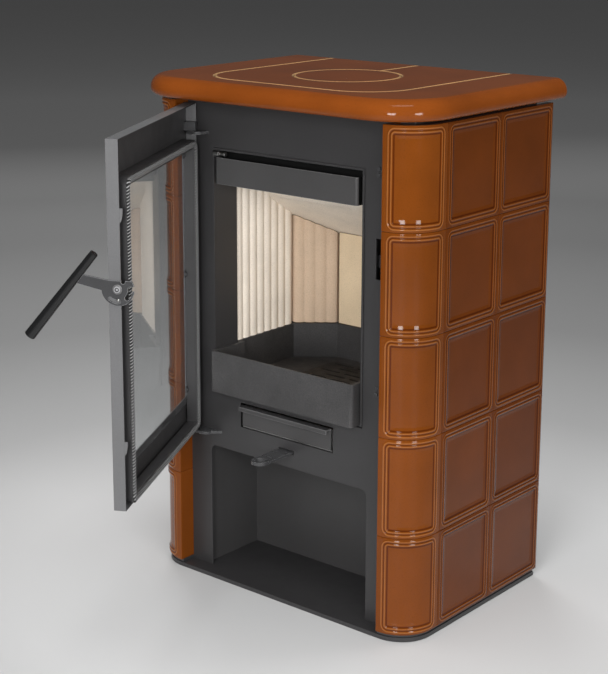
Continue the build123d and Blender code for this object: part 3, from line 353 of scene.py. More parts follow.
def rope_material():
    """Glass-fibre rope: pale crests on its strands and near black between them, a painted highlight and painted
    shade.
    """
    material, tree, shader = new_material("seal_rope")
    crest_light_and_shade = ramp(tree, stored(tree, "relief"), (0.0, 0.006), (0.35, 0.014), (0.9, 0.42))
    fibre = ramp(tree, noise(tree, 1500.0, 3.0), (0.3, 0.7), (0.7, 1.1))
    tree.links.new(mix(tree, "MULTIPLY", 1.0, crest_light_and_shade, fibre), shader.inputs["Base Color"])
    shader.inputs["Roughness"].default_value = 0.7
    shader.inputs["Sheen Weight"].default_value = 0.2
    bump(tree, shader, noise(tree, 1500.0, 3.0), 0.0002, 0.6)
    return material


def glass_material():
    """Clear ceramic glass with a trace of haze; lamps shine through it."""
    material, tree, shader = new_material("door_glass")
    deep, light = (0.93, 0.95, 0.95), (0.97, 0.98, 0.98)
    tint = ramp(tree, noise(tree, 6.0, 2.0), (0.3, deep), (0.7, light))
    tree.links.new(tint, shader.inputs["Base Color"])
    shader.inputs["Transmission Weight"].default_value = 1.0
    shader.inputs["Roughness"].default_value = 0.015
    shader.inputs["IOR"].default_value = 1.5
    clear = tree.nodes.new("ShaderNodeBsdfTransparent")
    clear.inputs["Color"].default_value = (0.93, 0.94, 0.94, 1.0)
    rays = tree.nodes.new("ShaderNodeLightPath")
    blend = tree.nodes.new("ShaderNodeMixShader")
    output = tree.nodes["Material Output"]
    tree.links.new(rays.outputs["Is Shadow Ray"], blend.inputs[0])
    tree.links.new(shader.outputs[0], blend.inputs[1])
    tree.links.new(clear.outputs[0], blend.inputs[2])
    tree.links.new(blend.outputs[0], output.inputs["Surface"])
    return material


GLAZE = glaze_material(
    "tile_glaze", ground=(0.182, 0.047, 0.0055), ridge=(0.31, 0.110, 0.026),
    pool=(0.085, 0.016, 0.0016),
)
CROWN_GLAZE = glaze_material(
    "crown_glaze", ground=(0.222, 0.054, 0.0075), ridge=(0.56, 0.34, 0.155),
    pool=(0.110, 0.024, 0.0028),
)
BODY_PAINT = paint_material("body_paint", (0.036, 0.035, 0.036), 0.38)
BOX_PAINT = paint_material("box_paint", (0.051, 0.0495, 0.050), 0.42)
DOOR_PAINT = paint_material("door_paint", (0.135, 0.135, 0.138), 0.40)
FITTING_PAINT = paint_material("fitting_paint", (0.050, 0.050, 0.052), 0.26)
# light grey for the latch arm's edges and the bolt's head: partly worn paint, partly a painted highlight
WORN_AND_HIGHLIGHT_PAINT = paint_material("wear_and_highlight_paint", (0.34, 0.34, 0.35), 0.30)
# lighter paint for rounded edges: partly rubbed paint, partly a painted highlight where the edges catch the light
RUBBED_AND_HIGHLIGHT_PAINT = paint_material("rubbed_and_highlight_paint", (0.125, 0.123, 0.125), 0.30)
# near-white for the edges of the hinge brackets and the air lever: partly bare metal, partly a painted highlight
BARE_EDGE_AND_HIGHLIGHT = paint_material("bare_edge_and_highlight", (0.60, 0.60, 0.60), 0.25)
ROD_PAINT = paint_material("rod_paint", (0.010, 0.010, 0.0105), 0.20)
INNER_PAINT = paint_material("inner_paint", (0.011, 0.011, 0.0115), 0.5)
# near-black paint: partly soot, and painted shade in the drawer's gap, behind the air deflector's face and in the
# ash compartment
SOOT_AND_SHADE_PAINT = paint_material("soot_and_painted_shade", (0.0045, 0.0045, 0.0045), 0.6, specular=0.2)
CAST_IRON = cast_iron_material("cast_iron", (0.030, 0.029, 0.030), (0.062, 0.060, 0.060))
# lighter iron for the fire bowl's rounded edges: partly wear, partly a painted highlight
WORN_AND_HIGHLIGHT_IRON = cast_iron_material("worn_and_highlight_iron", (0.070, 0.068, 0.069), (0.135, 0.131, 0.131))
GRATE_IRON = cast_iron_material("grate_iron", (0.014, 0.012, 0.011), (0.034, 0.030, 0.027))
# one fireclay drawn three ways: pale for the side linings and the baffle, darker copies for the back and the
# corner linings, where less light falls: painted shade
PALE_FIRECLAY = fireclay_material("pale_fireclay", (0.98, 0.88, 0.76))
DEEP_SHADE_FIRECLAY = fireclay_material("deep_shade_fireclay", (0.66, 0.50, 0.365))
HALF_SHADE_FIRECLAY = fireclay_material("half_shade_fireclay", (0.74, 0.59, 0.405))
SOOTED_FIRECLAY = fireclay_material("sooted_fireclay", (0.17, 0.12, 0.08))
STEEL = steel_material()
ROPE = rope_material()
GLASS = glass_material()


# ======================== mesh helpers
def finish_mesh(mesh, sharp_angle=SHARP_ANGLE):
    """Smooth shading that stays crisp over sharp edges."""
    mesh.polygons.foreach_set("use_smooth", [True] * len(mesh.polygons))
    mesh.set_sharp_from_angle(angle=math.radians(sharp_angle))
    mesh.update()


def close_mesh(mesh, sharp_angle):
    """Weld a closed mesh, turn its faces outward and set its shading."""
    work = bmesh.new()
    work.from_mesh(mesh)
    bmesh.ops.remove_doubles(work, verts=work.verts, dist=WELD)
    bmesh.ops.dissolve_degenerate(work, dist=WELD, edges=work.edges)
    bmesh.ops.recalc_face_normals(work, faces=work.faces)
    work.to_mesh(mesh)
    work.free()
    finish_mesh(mesh, sharp_angle)


def solid_mesh(name, vertices, faces, kinds=None):
    """A closed mesh; kinds gives each face's material."""
    mesh = bpy.data.meshes.new(name)
    mesh.from_pydata(vertices, [], faces)
    if kinds:
        mesh.polygons.foreach_set("material_index", kinds)
    close_mesh(mesh, SOLID_SHARP)
    return mesh


def keep_flats_flat(piece):
    """Shading normals that follow the large faces, so that only the rounded edges blend."""
    modifier = piece.modifiers.new("flat_faces", "WEIGHTED_NORMAL")
    modifier.weight = 100
    modifier.keep_sharp = True


def add_piece(name, mesh, materials, body, *nodes):
    """A finished piece that rides on a body and stands for some of the frame's nodes."""
    piece = bpy.data.objects.new(name, mesh)
    bpy.context.scene.collection.objects.link(piece)
    kinds = np.zeros(len(mesh.polygons), np.int32)
    mesh.polygons.foreach_get("material_index", kinds)
    mesh.materials.clear()
    for material in materials:
        mesh.materials.append(material)
    mesh.polygons.foreach_set("material_index", kinds)
    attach(piece, body)
    if nodes:
        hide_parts(*nodes)
    return piece


def set_values(mesh, name, values):
    """Store one number for each vertex, for the materials to read."""
    layer = mesh.attributes.new(name, "FLOAT", "POINT")
    layer.data.foreach_set("value", np.asarray(values, np.float32).ravel())


BODIES = frame["record"]["behaviour"]["bodies"]
BODY_OF = {node: body for body, nodes in BODIES.items() for node in nodes}


def dressed(node, material, width_mm, segments=2, edge_material=None, corner_angle=30.0):
    """A node's own shape with its sharp edges rounded, as a new piece in the node's place."""
    mesh = frame["nodes"][node].data.copy()
    work = bmesh.new()
    work.from_mesh(mesh)
    for face in work.faces:
        face.material_index = 0
    bmesh.ops.remove_doubles(work, verts=work.verts, dist=CAD_WELD)
    bmesh.ops.dissolve_limit(
        work, angle_limit=math.radians(FLAT_ANGLE), verts=work.verts, edges=work.edges,
        use_dissolve_boundaries=False,
    )
    if width_mm:
        corner = math.radians(corner_angle)
        whole = [edge for edge in work.edges if len(edge.link_faces) == 2]
        sharp = [edge for edge in whole if edge.calc_face_angle(0.0) > corner]
        bmesh.ops.bevel(
            work, geom=sharp, offset=width_mm * MM, segments=segments, profile=0.5, affect="EDGES",
            clamp_overlap=True, material=1 if edge_material else -1,
        )
    work.to_mesh(mesh)
    work.free()
    finish_mesh(mesh)
    materials = [material, edge_material] if edge_material else [material]
    piece = add_piece(node + "_dressed", mesh, materials, BODY_OF[node], node)
    keep_flats_flat(piece)
    return piece


def small_parts(piece, material):
    """Give the separate small solids of a piece their own material."""
    work = bmesh.new()
    work.from_mesh(piece.data)
    left = set(work.faces)
    while left:
        island, queue = [], [left.pop()]
        while queue:
            face = queue.pop()
            island.append(face)
            for neighbour in {f for edge in face.edges for f in edge.link_faces} & left:
                left.remove(neighbour)
                queue.append(neighbour)
        corners = np.array([v.co for f in island for v in f.verts])
        if np.ptp(corners, axis=0).max() < SMALL_PART_MM * MM:
            for face in island:
                face.material_index = len(piece.data.materials)
    work.to_mesh(piece.data)
    work.free()
    piece.data.materials.append(material)


def paint_faces(piece, material, chosen):
    """Give some of a piece's faces their own material; chosen(face) says which."""
    for face in piece.data.polygons:
        if chosen(face):
            face.material_index = len(piece.data.materials)
    piece.data.materials.append(material)


def outside(face, low, high, margin_mm=0.0):
    """Whether a face's middle lies outside an upright rectangle seen from the front."""
    margin = margin_mm * MM
    x, z = face.center.x, face.center.z
    return not (low.x + margin < x < high.x - margin and low.z + margin < z < high.z - margin)


# ======================== tiles
def moulding_table():
    """Distances from a tile's edge and the softened heights there."""
    at, height = np.array(MOULDING_MM).T
    fine = np.arange(0.0, at[-1] + BORDER_MM, MOULDING_STEP_MM)
    count = round(3 * MOULDING_SOFTNESS_MM / MOULDING_STEP_MM)
    reach = np.arange(-count, count + 1) * MOULDING_STEP_MM
    weight = np.exp(-0.5 * (reach / MOULDING_SOFTNESS_MM) ** 2)
    plain = np.pad(np.interp(fine, at, height), count, mode="edge")
    return fine, np.convolve(plain, weight / weight.sum(), mode="valid")


MOULDING_TABLE = moulding_table()
FIELD_HEIGHT_MM = MOULDING_TABLE[1][-1]


def moulding(distance_mm):
    """The height of a tile's face at a distance from its edge, in millimetres."""
    return np.interp(distance_mm, *MOULDING_TABLE)


def edge_distance(s, z, length, height, margin):
    """The distance from a tile's edge, measured round the moulding's rounded corners."""
    across = np.minimum(s, length - s) - margin
    up = np.minimum(z, height - z)
    r = BEAD_CORNER_MM
    corner = (across < r) & (up < r)
    rounded = r - np.hypot(r - across, r - up)
    plain = np.minimum(across, up)
    close = np.minimum(np.minimum(s, length - s), up)
    inside = np.where(corner, np.maximum(rounded, CORNER_RIM_MM), plain)
    return np.where(close < RIM_MM, close, np.maximum(inside, np.minimum(close, BORDER_MM)))


def samples(length):
    """Places along one side of a tile: close together over the moulding, wide over the field."""
    over_moulding = np.arange(RIM_MM, FIELD_START_MM, MOULDING_PLACES_MM)
    fine = np.concatenate([RIM_PLACES_MM, over_moulding])
    middle = np.linspace(FIELD_START_MM, length - FIELD_START_MM, FIELD_PLACES)
    return np.concatenate([fine, middle, (length - fine)[::-1]])


def tile_mesh(name, path, length, leg, height, z0, margin, tone):
    """A closed tile: a moulded face along a plan path, and a plain back.

    path(s) gives the plan points, the outward normals and the back points; s below 0 is the leg."""
    along = np.concatenate([-np.array(leg)[::-1], samples(length)]) if leg else samples(length)
    points, normals, back = path(along)
    s, z = np.meshgrid(along, samples(height))
    on_leg = s < 0
    distance = edge_distance(np.maximum(s, 0.0), z, length, height, margin)
    border = moulding(np.clip(np.minimum(z, height - z), 0, BORDER_MM))
    without_moulding = (s < LEG_STRIP_MM) if leg else on_leg
    lift = np.where(without_moulding, border, moulding(distance))
    swell = np.sin(np.pi * np.clip(s / length, 0, 1)) * np.sin(np.pi * z / height)
    lift = lift + FIELD_CROWN_MM * swell * (lift <= FIELD_HEIGHT_MM + FIELD_MATCH_MM)
    front = np.stack(
        [points[:, 0] + normals[:, 0] * lift, points[:, 1] + normals[:, 1] * lift, z0 + z], -1
    )
    rows, columns = z.shape
    low = np.column_stack([back, np.full(columns, z0)])
    high = np.column_stack([back, np.full(columns, z0 + height)])
    vertices = np.concatenate([front.reshape(-1, 3), low, high]) * MM
    grid = np.arange(rows * columns).reshape(rows, columns)
    low_row = rows * columns + np.arange(columns)
    high_row = low_row + columns
    strips = [(grid[i], grid[i + 1]) for i in range(rows - 1)]
    strips += [(grid[-1], high_row), (high_row, low_row), (low_row, grid[0])]
    faces = []
    for first, second in strips:
        faces += np.column_stack([first[:-1], first[1:], second[1:], second[:-1]]).tolist()
    faces.append(grid[:, 0].tolist() + [high_row[0], low_row[0]])
    faces.append(grid[::-1, -1].tolist() + [low_row[-1], high_row[-1]])
    mesh = bpy.data.meshes.new(name)
    mesh.from_pydata(vertices.tolist(), [], faces)
    shade = np.where(on_leg, PLAIN_SHADE, relief_shade(distance))
    set_values(mesh, "relief", np.append(shade, np.full(2 * columns, BACK_SHADE)))
    set_values(mesh, "tone", np.full(len(vertices), tone))
    close_mesh(mesh, GLAZED_SHARP)
    return mesh


def relief_shade(distance):
    """Where a tile's glaze is thin or pools: light on both beads, dark between and inside them."""
    shade = np.full(distance.shape, PLAIN_SHADE)
    for centre, half_width, value in GLAZE_BANDS_MM:
        weight = np.clip(1 - ((distance - centre) / half_width) ** 2, 0, 1)
        shade = shade + (value - PLAIN_SHADE) * weight
    return np.where(distance < RIM_SHADE_MM, RIM_SHADE, shade)


def side_path(y0_mm):
    """A straight path along the right side from a y."""
    def path(along):
        count = len(along)
        x = np.full(count, BODY_WIDTH_MM / 2)
        points = np.column_stack([x, y0_mm + along])
        normals = np.tile([1.0, 0.0], (count, 1))
        return points, normals, points - normals * TILE_THICKNESS_MM
    return path


def corner_path(inner_x_mm, front_mm):
    """The right corner tile's path, which starts with the leg that turns back."""
    flat = BODY_WIDTH_MM / 2 - CORNER_RADIUS_MM - inner_x_mm
    quarter = CORNER_RADIUS_MM * math.pi / 2
    edge = LEG_EDGE_MM * math.pi / 2

    def path(along):
        points, normals = [], []
        for s in along:    # the leg, its rounded edge, the front, then the quarter and the side
            if s < -edge:
                point = (inner_x_mm, front_mm + LEG_EDGE_MM - s - edge)
                normal = (-1.0, 0.0)
            elif s < 0:
                angle = (-s / edge) * math.pi / 2
                normal = (-math.sin(angle), -math.cos(angle))
                point = (
                    inner_x_mm + LEG_EDGE_MM * (1 + normal[0]),
                    front_mm + LEG_EDGE_MM * (1 + normal[1]),
                )
            elif s < flat - LEG_EDGE_MM:
                point, normal = (inner_x_mm + LEG_EDGE_MM + s, front_mm), (0.0, -1.0)
            else:
                angle = min((s - flat + LEG_EDGE_MM) / CORNER_RADIUS_MM, math.pi / 2)
                normal = (math.sin(angle), -math.cos(angle))
                rest = max(s - flat + LEG_EDGE_MM - quarter, 0.0)
                point = (
                    BODY_WIDTH_MM / 2 - CORNER_RADIUS_MM + CORNER_RADIUS_MM * normal[0],
                    front_mm + CORNER_RADIUS_MM + CORNER_RADIUS_MM * normal[1] + rest,
                )
            points.append(point)
            normals.append(normal)
        points, normals = np.array(points), np.array(normals)
        back = points - normals * TILE_THICKNESS_MM
        leg_x = inner_x_mm + CORNER_LEG_MM
        back[:, 0] = np.where(along < flat, leg_x, np.maximum(back[:, 0], leg_x))
        back[:, 1] = np.maximum(back[:, 1], front_mm + TILE_THICKNESS_MM)
        return points, normals, back

    return path


def mirrored(mesh, name):
    """A copy of a right side's mesh for the left side."""
    copy = mesh.copy()
    copy.name = name
    work = bmesh.new()
    work.from_mesh(copy)
    for vertex in work.verts:
        vertex.co.x = -vertex.co.x
    bmesh.ops.reverse_faces(work, faces=work.faces)
    work.to_mesh(copy)
    work.free()
    return copy


def build_tiles():
    """Five rows of tiles: a corner tile and two side tiles on each side, with a drawn tone each; the side tiles'
    tones are darker, a painted shade.
    """
    random = np.random.default_rng(TONE_SEED)
    middle_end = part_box("corner_tile_right_1")[1].y / MM + TILE_JOINT_MM + MIDDLE_TILE_MM
    for row in range(1, TILE_ROWS + 1):
        low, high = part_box(f"corner_tile_right_{row}")
        side_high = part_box(f"side_tiles_right_{row}")[1]
        z0 = low.z / MM - TILE_GROWTH_MM
        height = (high.z - low.z) / MM + 2 * TILE_GROWTH_MM
        inner_x, front, corner_end = low.x / MM, low.y / MM, high.y / MM + TILE_GROWTH_MM
        flat = BODY_WIDTH_MM / 2 - CORNER_RADIUS_MM - inner_x
        length = (
            flat - LEG_EDGE_MM + CORNER_RADIUS_MM * math.pi / 2
            + corner_end - front - CORNER_RADIUS_MM
        )
        edge = LEG_EDGE_MM * math.pi / 2
        leg = [edge * share for share in LEG_EDGE_SHARES] + [edge + d for d in LEG_PLACES_MM]
        middle_start = high.y / MM + TILE_JOINT_MM - TILE_GROWTH_MM
        for side in ("right", "left"):
            tone = random.uniform(*CORNER_TONES)
            name = f"corner_tile_{side}_{row}"
            mesh = tile_mesh(
                name + "_mesh", corner_path(inner_x, front), length, leg, height, z0,
                CORNER_SIDE_MARGIN_MM, tone,
            )
            if side == "left":
                mesh = mirrored(mesh, name + "_left")
            add_piece(name + "_glazed", mesh, [GLAZE], "stove", name)
            name = f"side_tiles_{side}_{row}"
            for start, end, label in (
                (middle_start, middle_end + TILE_GROWTH_MM, "middle"),
                (middle_end + TILE_JOINT_MM - TILE_GROWTH_MM, side_high.y / MM, "back"),
            ):
                tone = random.uniform(*SIDE_TONES_WITH_PAINTED_SHADE)
                path = side_path(start)
                mesh = tile_mesh(name + label, path, end - start, [], height, z0, 0.0, tone)
                if side == "left":
                    mesh = mirrored(mesh, name + label + "_left")
                add_piece(f"{name}_{label}", mesh, [GLAZE], "stove", name)


build_tiles()


# ======================== crown
def round_edge(radius, steps):
    """A quarter round from the wall to the top: (distance in from the wall, drop below the top)."""
    angles = [math.pi / 2 * k / steps for k in range(steps + 1)]
    return [(radius * (1 - math.cos(a)), radius * (1 - math.sin(a))) for a in angles]


def u_path(half, front, back, corner):
    """Points and normals of a plan path open to the back, from its left end to its right end."""
    side_steps, corner_steps, front_steps = CROWN_STEPS
    points = []
    for k in range(side_steps):
        share = k / side_steps
        points.append(((-half, back + (front + corner - back) * share), (-1.0, 0.0)))
    for k in range(corner_steps):
        a = math.pi / 2 * k / corner_steps
        nx, ny = -math.cos(a), -math.sin(a)
        point = (-half + corner + corner * nx, front + corner + corner * ny)
        points.append((point, (nx, ny)))
    for k in range(front_steps // 2 + 1):
        x = (-half + corner) * (1 - 2 * k / front_steps)
        points.append(((x, front), (0.0, -1.0)))
    right = [((-x, y), (-nx, ny)) for (x, y), (nx, ny) in points[:-1]]
    return points + right[::-1]


def loft(name, sections, shades, tone, turned=False):
    """A solid through a row of sections, each a ring of points; shades go along each section.

    A turned solid closes its row of sections instead, and each section runs from axis to axis."""
    rows, columns = len(sections), len(sections[0])
    vertices = [tuple(c * MM for c in point) for section in sections for point in section]
    faces = []
    for i in range(rows if turned else rows - 1):
        j = (i + 1) % rows
        for k in range(columns - 1 if turned else columns):
            m = (k + 1) % columns
            faces.append((i * columns + k, j * columns + k, j * columns + m, i * columns + m))
    if not turned:
        faces.append(tuple(range(columns)))
        faces.append(tuple((rows - 1) * columns + k for k in reversed(range(columns))))
    mesh = bpy.data.meshes.new(name)
    mesh.from_pydata(vertices, [], faces)
    set_values(mesh, "relief", shades)
    set_values(mesh, "tone", [tone] * len(vertices))
    close_mesh(mesh, GLAZED_SHARP)
    return mesh


JOINT_EDGE = round_edge(EDGE_ROUND_MM, JOINT_ROUND_STEPS)
JOINT_EDGE.append((EDGE_ROUND_MM + EDGE_FADE_MM, 0.0))
JOINT_SHADES = [EDGE_SHADE] * (len(JOINT_EDGE) - 1) + [PLAIN_SHADE]


def crown_frame_mesh():
    """The crown's frame: rounded outside, a small round along the joint to the insert."""
    outer = u_path(CROWN_HALF_MM, CROWN_FRONT_MM, CROWN_BACK_MM, CROWN_CORNER_MM)
    inner = u_path(INSERT_HALF_MM, INSERT_FRONT_MM, CROWN_BACK_MM, INSERT_CORNER_MM)
    top_edge = round_edge(CROWN_TOP_ROUND_MM, TOP_ROUND_STEPS)[::-1]
    bottom_edge = round_edge(CROWN_BOTTOM_ROUND_MM, BOTTOM_ROUND_STEPS)
    sections = []
    for ((ox, oy), (nx, ny)), ((ix, iy), _) in zip(outer, inner):
        section = [(ix, iy, CROWN_BOTTOM_MM)]
        section += [(ix + nx * d, iy + ny * d, CROWN_TOP_MM - h) for d, h in JOINT_EDGE]
        section += [(ox - nx * d, oy - ny * d, CROWN_TOP_MM - h) for d, h in top_edge]
        section += [(ox - nx * d, oy - ny * d, CROWN_BOTTOM_MM + h) for d, h in bottom_edge]
        sections.append(section)
    shades = [PLAIN_SHADE] + JOINT_SHADES + [PLAIN_SHADE] * (len(top_edge) + len(bottom_edge))
    plain = [PLAIN_SHADE] * len(shades)
    shades = plain + shades * len(sections) + plain
    for end, place in ((sections[0], 1), (sections[-1], -1)):
        sections.insert(place, [(x, y - END_STEP_MM, z) for x, y, z in end])
    return loft("crown_frame_glazed", sections, shades, FRAME_TONE)


def crown_insert_mesh():
    """The plate let into the crown, with the lid's opening and the slit behind it."""
    plan = u_path(
        INSERT_HALF_MM - INSERT_GAP_MM, INSERT_FRONT_MM + INSERT_GAP_MM, CROWN_BACK_MM,
        INSERT_CORNER_MM - INSERT_GAP_MM,
    )
    opening = LID_RADIUS_MM + INSERT_GAP_MM
    slit_edge = [(SLIT_HALF_MM + d, h) for d, h in JOINT_EDGE]
    flat_half = INSERT_HALF_MM - INSERT_GAP_MM - EDGE_ROUND_MM - EDGE_FADE_MM
    slit_end = slit_edge[-1][0]
    across_back = np.linspace(slit_end, flat_half - END_STEP_MM, BACK_STEPS)[1:]
    back_edge = slit_edge + [(x, 0.0) for x in across_back]
    # a station is a place on the plan, its normal and how far the slit's edge lowers it
    left_back = [(-x, CROWN_BACK_MM, 0.0, 1.0, h) for x, h in back_edge]
    left_corner = (plan[0][0][0], CROWN_BACK_MM, -1.0, 1.0, 0.0)
    stations = left_back + [left_corner]
    stations += [(x, y, nx, ny, 0.0) for (x, y), (nx, ny) in plan[1:-1]]
    stations += [(-x, y, -nx, ny, h) for x, y, nx, ny, h in [left_corner] + left_back[::-1]]
    ledge = [
        (LID_LEDGE_MM, CROWN_BOTTOM_MM), (LID_LEDGE_MM, LID_BOTTOM_MM), (opening, LID_BOTTOM_MM),
    ]
    sections, shades = [], []
    for x, y, nx, ny, slit_drop in stations:
        at_back = ny > 0 and not nx
        by_slit = at_back and abs(x) <= slit_end
        cx = x / opening if by_slit else x / math.hypot(x, y)
        cy = math.sqrt(1 - cx * cx) if by_slit else y / math.hypot(x, y)
        rim = [(d, CROWN_TOP_MM - max(h, slit_drop)) for d, h in JOINT_EDGE]
        section = [(cx * r, cy * r, z) for r, z in ledge + [(opening + d, z) for d, z in rim]]
        section += [(x - nx * d, y - ny * d, z) for d, z in rim[::-1]]
        section.append((x, y, CROWN_BOTTOM_MM))
        sections.append(section)
        if by_slit and abs(x) < slit_end:
            row = [EDGE_SHADE] * 2 * len(JOINT_SHADES)
        elif at_back:
            row = JOINT_SHADES + [PLAIN_SHADE] * len(JOINT_SHADES)
        else:
            row = JOINT_SHADES + JOINT_SHADES[::-1]
        shades += [PLAIN_SHADE] * len(ledge) + row + [PLAIN_SHADE]
    return loft("crown_insert_glazed", sections, shades, INSERT_TONE)


def crown_lid_mesh():
    """The round lid in the insert."""
    rings = [(0.0, LID_BOTTOM_MM), (LID_RADIUS_MM, LID_BOTTOM_MM)]
    rings += [(LID_RADIUS_MM - d, CROWN_TOP_MM - h) for d, h in JOINT_EDGE]
    rings += [(LID_RADIUS_MM * share, CROWN_TOP_MM) for share in LID_RINGS]
    shades = [PLAIN_SHADE] * 2 + JOINT_SHADES + [PLAIN_SHADE] * len(LID_RINGS)
    sections = []
    for k in range(LID_STEPS):
        a = 2 * math.pi * k / LID_STEPS
        sections.append([(r * math.cos(a), r * math.sin(a), z) for r, z in rings])
    return loft("crown_lid_glazed", sections, shades * LID_STEPS, INSERT_TONE, turned=True)


for node, mesh in (
    ("crown_frame", crown_frame_mesh()), ("crown_insert", crown_insert_mesh()),
    ("crown_lid", crown_lid_mesh()),
):
    keep_flats_flat(add_piece(node + "_glazed", mesh, [CROWN_GLAZE], BODY_OF[node], node))


# ======================== small pieces on the door
HINGE = next(joint for joint in frame["joints"] if joint["name"] == "door_hinge")
OPEN_ANGLE = math.radians(HINGE["range_deg"][0])


def on_open_door(x, y, z):
    """Where a point of the closed door, in millimetres, lies on the open door, in metres."""
    hinge_x, hinge_y = HINGE["pos_m"][:2]
    dx, dy = x * MM - hinge_x, y * MM - hinge_y
    cos, sin = math.cos(OPEN_ANGLE), math.sin(OPEN_ANGLE)
    return hinge_x + dx * cos - dy * sin, hinge_y + dx * sin + dy * cos, z * MM


def turned_on_door(name, section, kinds, y, z, count):
    """A turned mesh on an axis that stands out of the door's free edge; section is (radius, x).

    kinds gives the material of each part of the section."""
    vertices, faces = [], []
    for k in range(count):
        a = 2 * math.pi * k / count
        vertices += [on_open_door(x, y + r * math.cos(a), z + r * math.sin(a)) for r, x in section]
    step = len(section)
    for k in range(count):
        m = (k + 1) % count
        for i in range(step - 1):
            faces.append((k * step + i, k * step + i + 1, m * step + i + 1, m * step + i))
    faces.append(tuple(k * step for k in range(count)))
    return solid_mesh(name, vertices, faces, list(kinds) * count + [0])


def build_latch_bolt():
    """The pivot bolt with its washer and socket head, and the stop pin beside it."""
    section = [(BOLT_SECTION_MM[0][0], DOOR_EDGE_MM - DOOR_SHEET_MM)]
    section += [(r, ARM_END_MM + d) for r, d in BOLT_SECTION_MM]
    name = "latch_bolt_turned"
    bolt = turned_on_door(name, section, BOLT_KINDS, PIVOT_Y_MM, PIVOT_Z_MM, BOLT_STEPS)
    add_piece(name, bolt, [RUBBED_AND_HIGHLIGHT_PAINT, WORN_AND_HIGHLIGHT_PAINT, INNER_PAINT], "door", "latch_bolt")
    section = [(PIN_SECTION_MM[0][0], DOOR_EDGE_MM)]
    section += [(r, ARM_END_MM + d) for r, d in PIN_SECTION_MM]
    turn = math.radians(PIN_ANGLE)
    y = PIVOT_Y_MM + PIN_REACH_MM * math.cos(turn)
    z = PIVOT_Z_MM + PIN_REACH_MM * math.sin(turn)
    pin = turned_on_door("stop_pin_turned", section, [0] * len(PIN_SECTION_MM), y, z, PIN_STEPS)
    add_piece("stop_pin_turned", pin, [STEEL], "door", "latch_bolt")


def build_lugs():
    """Two small lugs bent out of the door's free edge."""
    count = len(LUG_MM)
    faces = [tuple(range(count)), tuple(range(2 * count - 1, count - 1, -1))]
    faces += [(i, (i + 1) % count, count + (i + 1) % count, count + i) for i in range(count)]
    for number, height in enumerate(LUG_HEIGHTS_MM, 1):
        corners = [
            on_open_door(x, FLANGE_END_MM + out, height + up)
            for x in (DOOR_EDGE_MM - DOOR_SHEET_MM, DOOR_EDGE_MM) for up, out in LUG_MM
        ]
        mesh = solid_mesh(f"door_lug_{number}", corners, faces)
        work = bmesh.new()
        work.from_mesh(mesh)
        bmesh.ops.bevel(
            work, geom=work.edges[:], offset=LUG_ROUND_MM * MM, segments=2, affect="EDGES"
        )
        work.to_mesh(mesh)
        work.free()
        add_piece(f"door_lug_{number}", mesh, [DOOR_PAINT], "door")


build_latch_bolt()
build_lugs()


# ======================== rope seal
def ring_path(half_width, low, high, corner, step):
    """Points and headings along an upright rounded rectangle, in the plane of the door."""
    width, height = 2 * half_width, high - low
    straight_x, straight_z = width - 2 * corner, height - 2 * corner
    quarter = corner * math.pi / 2
    total = 2 * (straight_x + straight_z) + 4 * quarter
    count = int(total / step)
    corners = [
        (half_width - corner, low + corner, -90.0), (half_width - corner, high - corner, 0.0),
        (-half_width + corner, high - corner, 90.0), (-half_width + corner, low + corner, 180.0),
    ]
    sides = [straight_x, straight_z, straight_x, straight_z]
    points = []
    for i in range(count):
        s = total * i / count
        for side, (cx, cz, start) in zip(sides, corners):
            if s < side:
                angle = math.radians(start)
                outward = (math.cos(angle), math.sin(angle))
                run = s - side
                x = cx + corner * outward[0] - outward[1] * run
                points.append((x, cz + corner * outward[1] + outward[0] * run, angle))
                break
            s -= side
            if s < quarter:
                angle = math.radians(start) + s / corner
                points.append((cx + corner * math.cos(angle), cz + corner * math.sin(angle), angle))
                break
            s -= quarter
    return points, total


def build_rope():
    """A twisted rope that lies in the door frame's channel."""
    points, total = ring_path(ROPE_X_MM, ROPE_LOW_MM, ROPE_HIGH_MM, ROPE_CORNER_MM, ROPE_STEP_MM)
    turns = round(total / ROPE_PITCH_MM)
    count = len(points)
    vertices, shade = [], []
    half_across, half_deep = ROPE_HALF_MM
    for i, (x, z, angle) in enumerate(points):
        twist = 2 * math.pi * turns * i / count
        for k in range(ROPE_ROUND):
            around = 2 * math.pi * k / ROPE_ROUND
            strand = abs(math.cos(ROPE_STRANDS * (around - twist) / 2))
            reach = 1 - ROPE_TWIST_DEPTH * (1 - strand)
            across = half_across * reach * math.cos(around)
            deep = half_deep * reach * math.sin(around)
            px, pz = x + across * math.cos(angle), z + across * math.sin(angle)
            vertices.append(on_open_door(px, ROPE_Y_MM + deep, pz))
            # pale on each strand's crest and dark between the strands: painted highlight and painted shade
            shade.append(strand ** ROPE_CREST_POWER)
    faces = []
    for i in range(count):
        here, ahead = i * ROPE_ROUND, (i + 1) % count * ROPE_ROUND
        for k in range(ROPE_ROUND):
            m = (k + 1) % ROPE_ROUND
            faces.append((here + k, ahead + k, ahead + m, here + m))
    mesh = bpy.data.meshes.new("rope_seal_twisted")
    mesh.from_pydata(vertices, [], faces)
    set_values(mesh, "relief", shade)
    close_mesh(mesh, ROPE_SHARP)
    add_piece("rope_seal_twisted", mesh, [ROPE], "door", "rope_seal")


build_rope()


# ======================== steel, iron and fireclay pieces
for node in ("base_plate", "side_panels", "back_panel", "top_plate", "tile_rails"):
    dressed(node, BODY_PAINT, SHEET_EDGE_MM)
# its rounded edges get the somewhat lighter box paint: a faint painted highlight
front_plate = dressed("front_plate", BODY_PAINT, FRONT_EDGE_MM, 2, BOX_PAINT)
drawer_low, drawer_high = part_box("drawer_front")
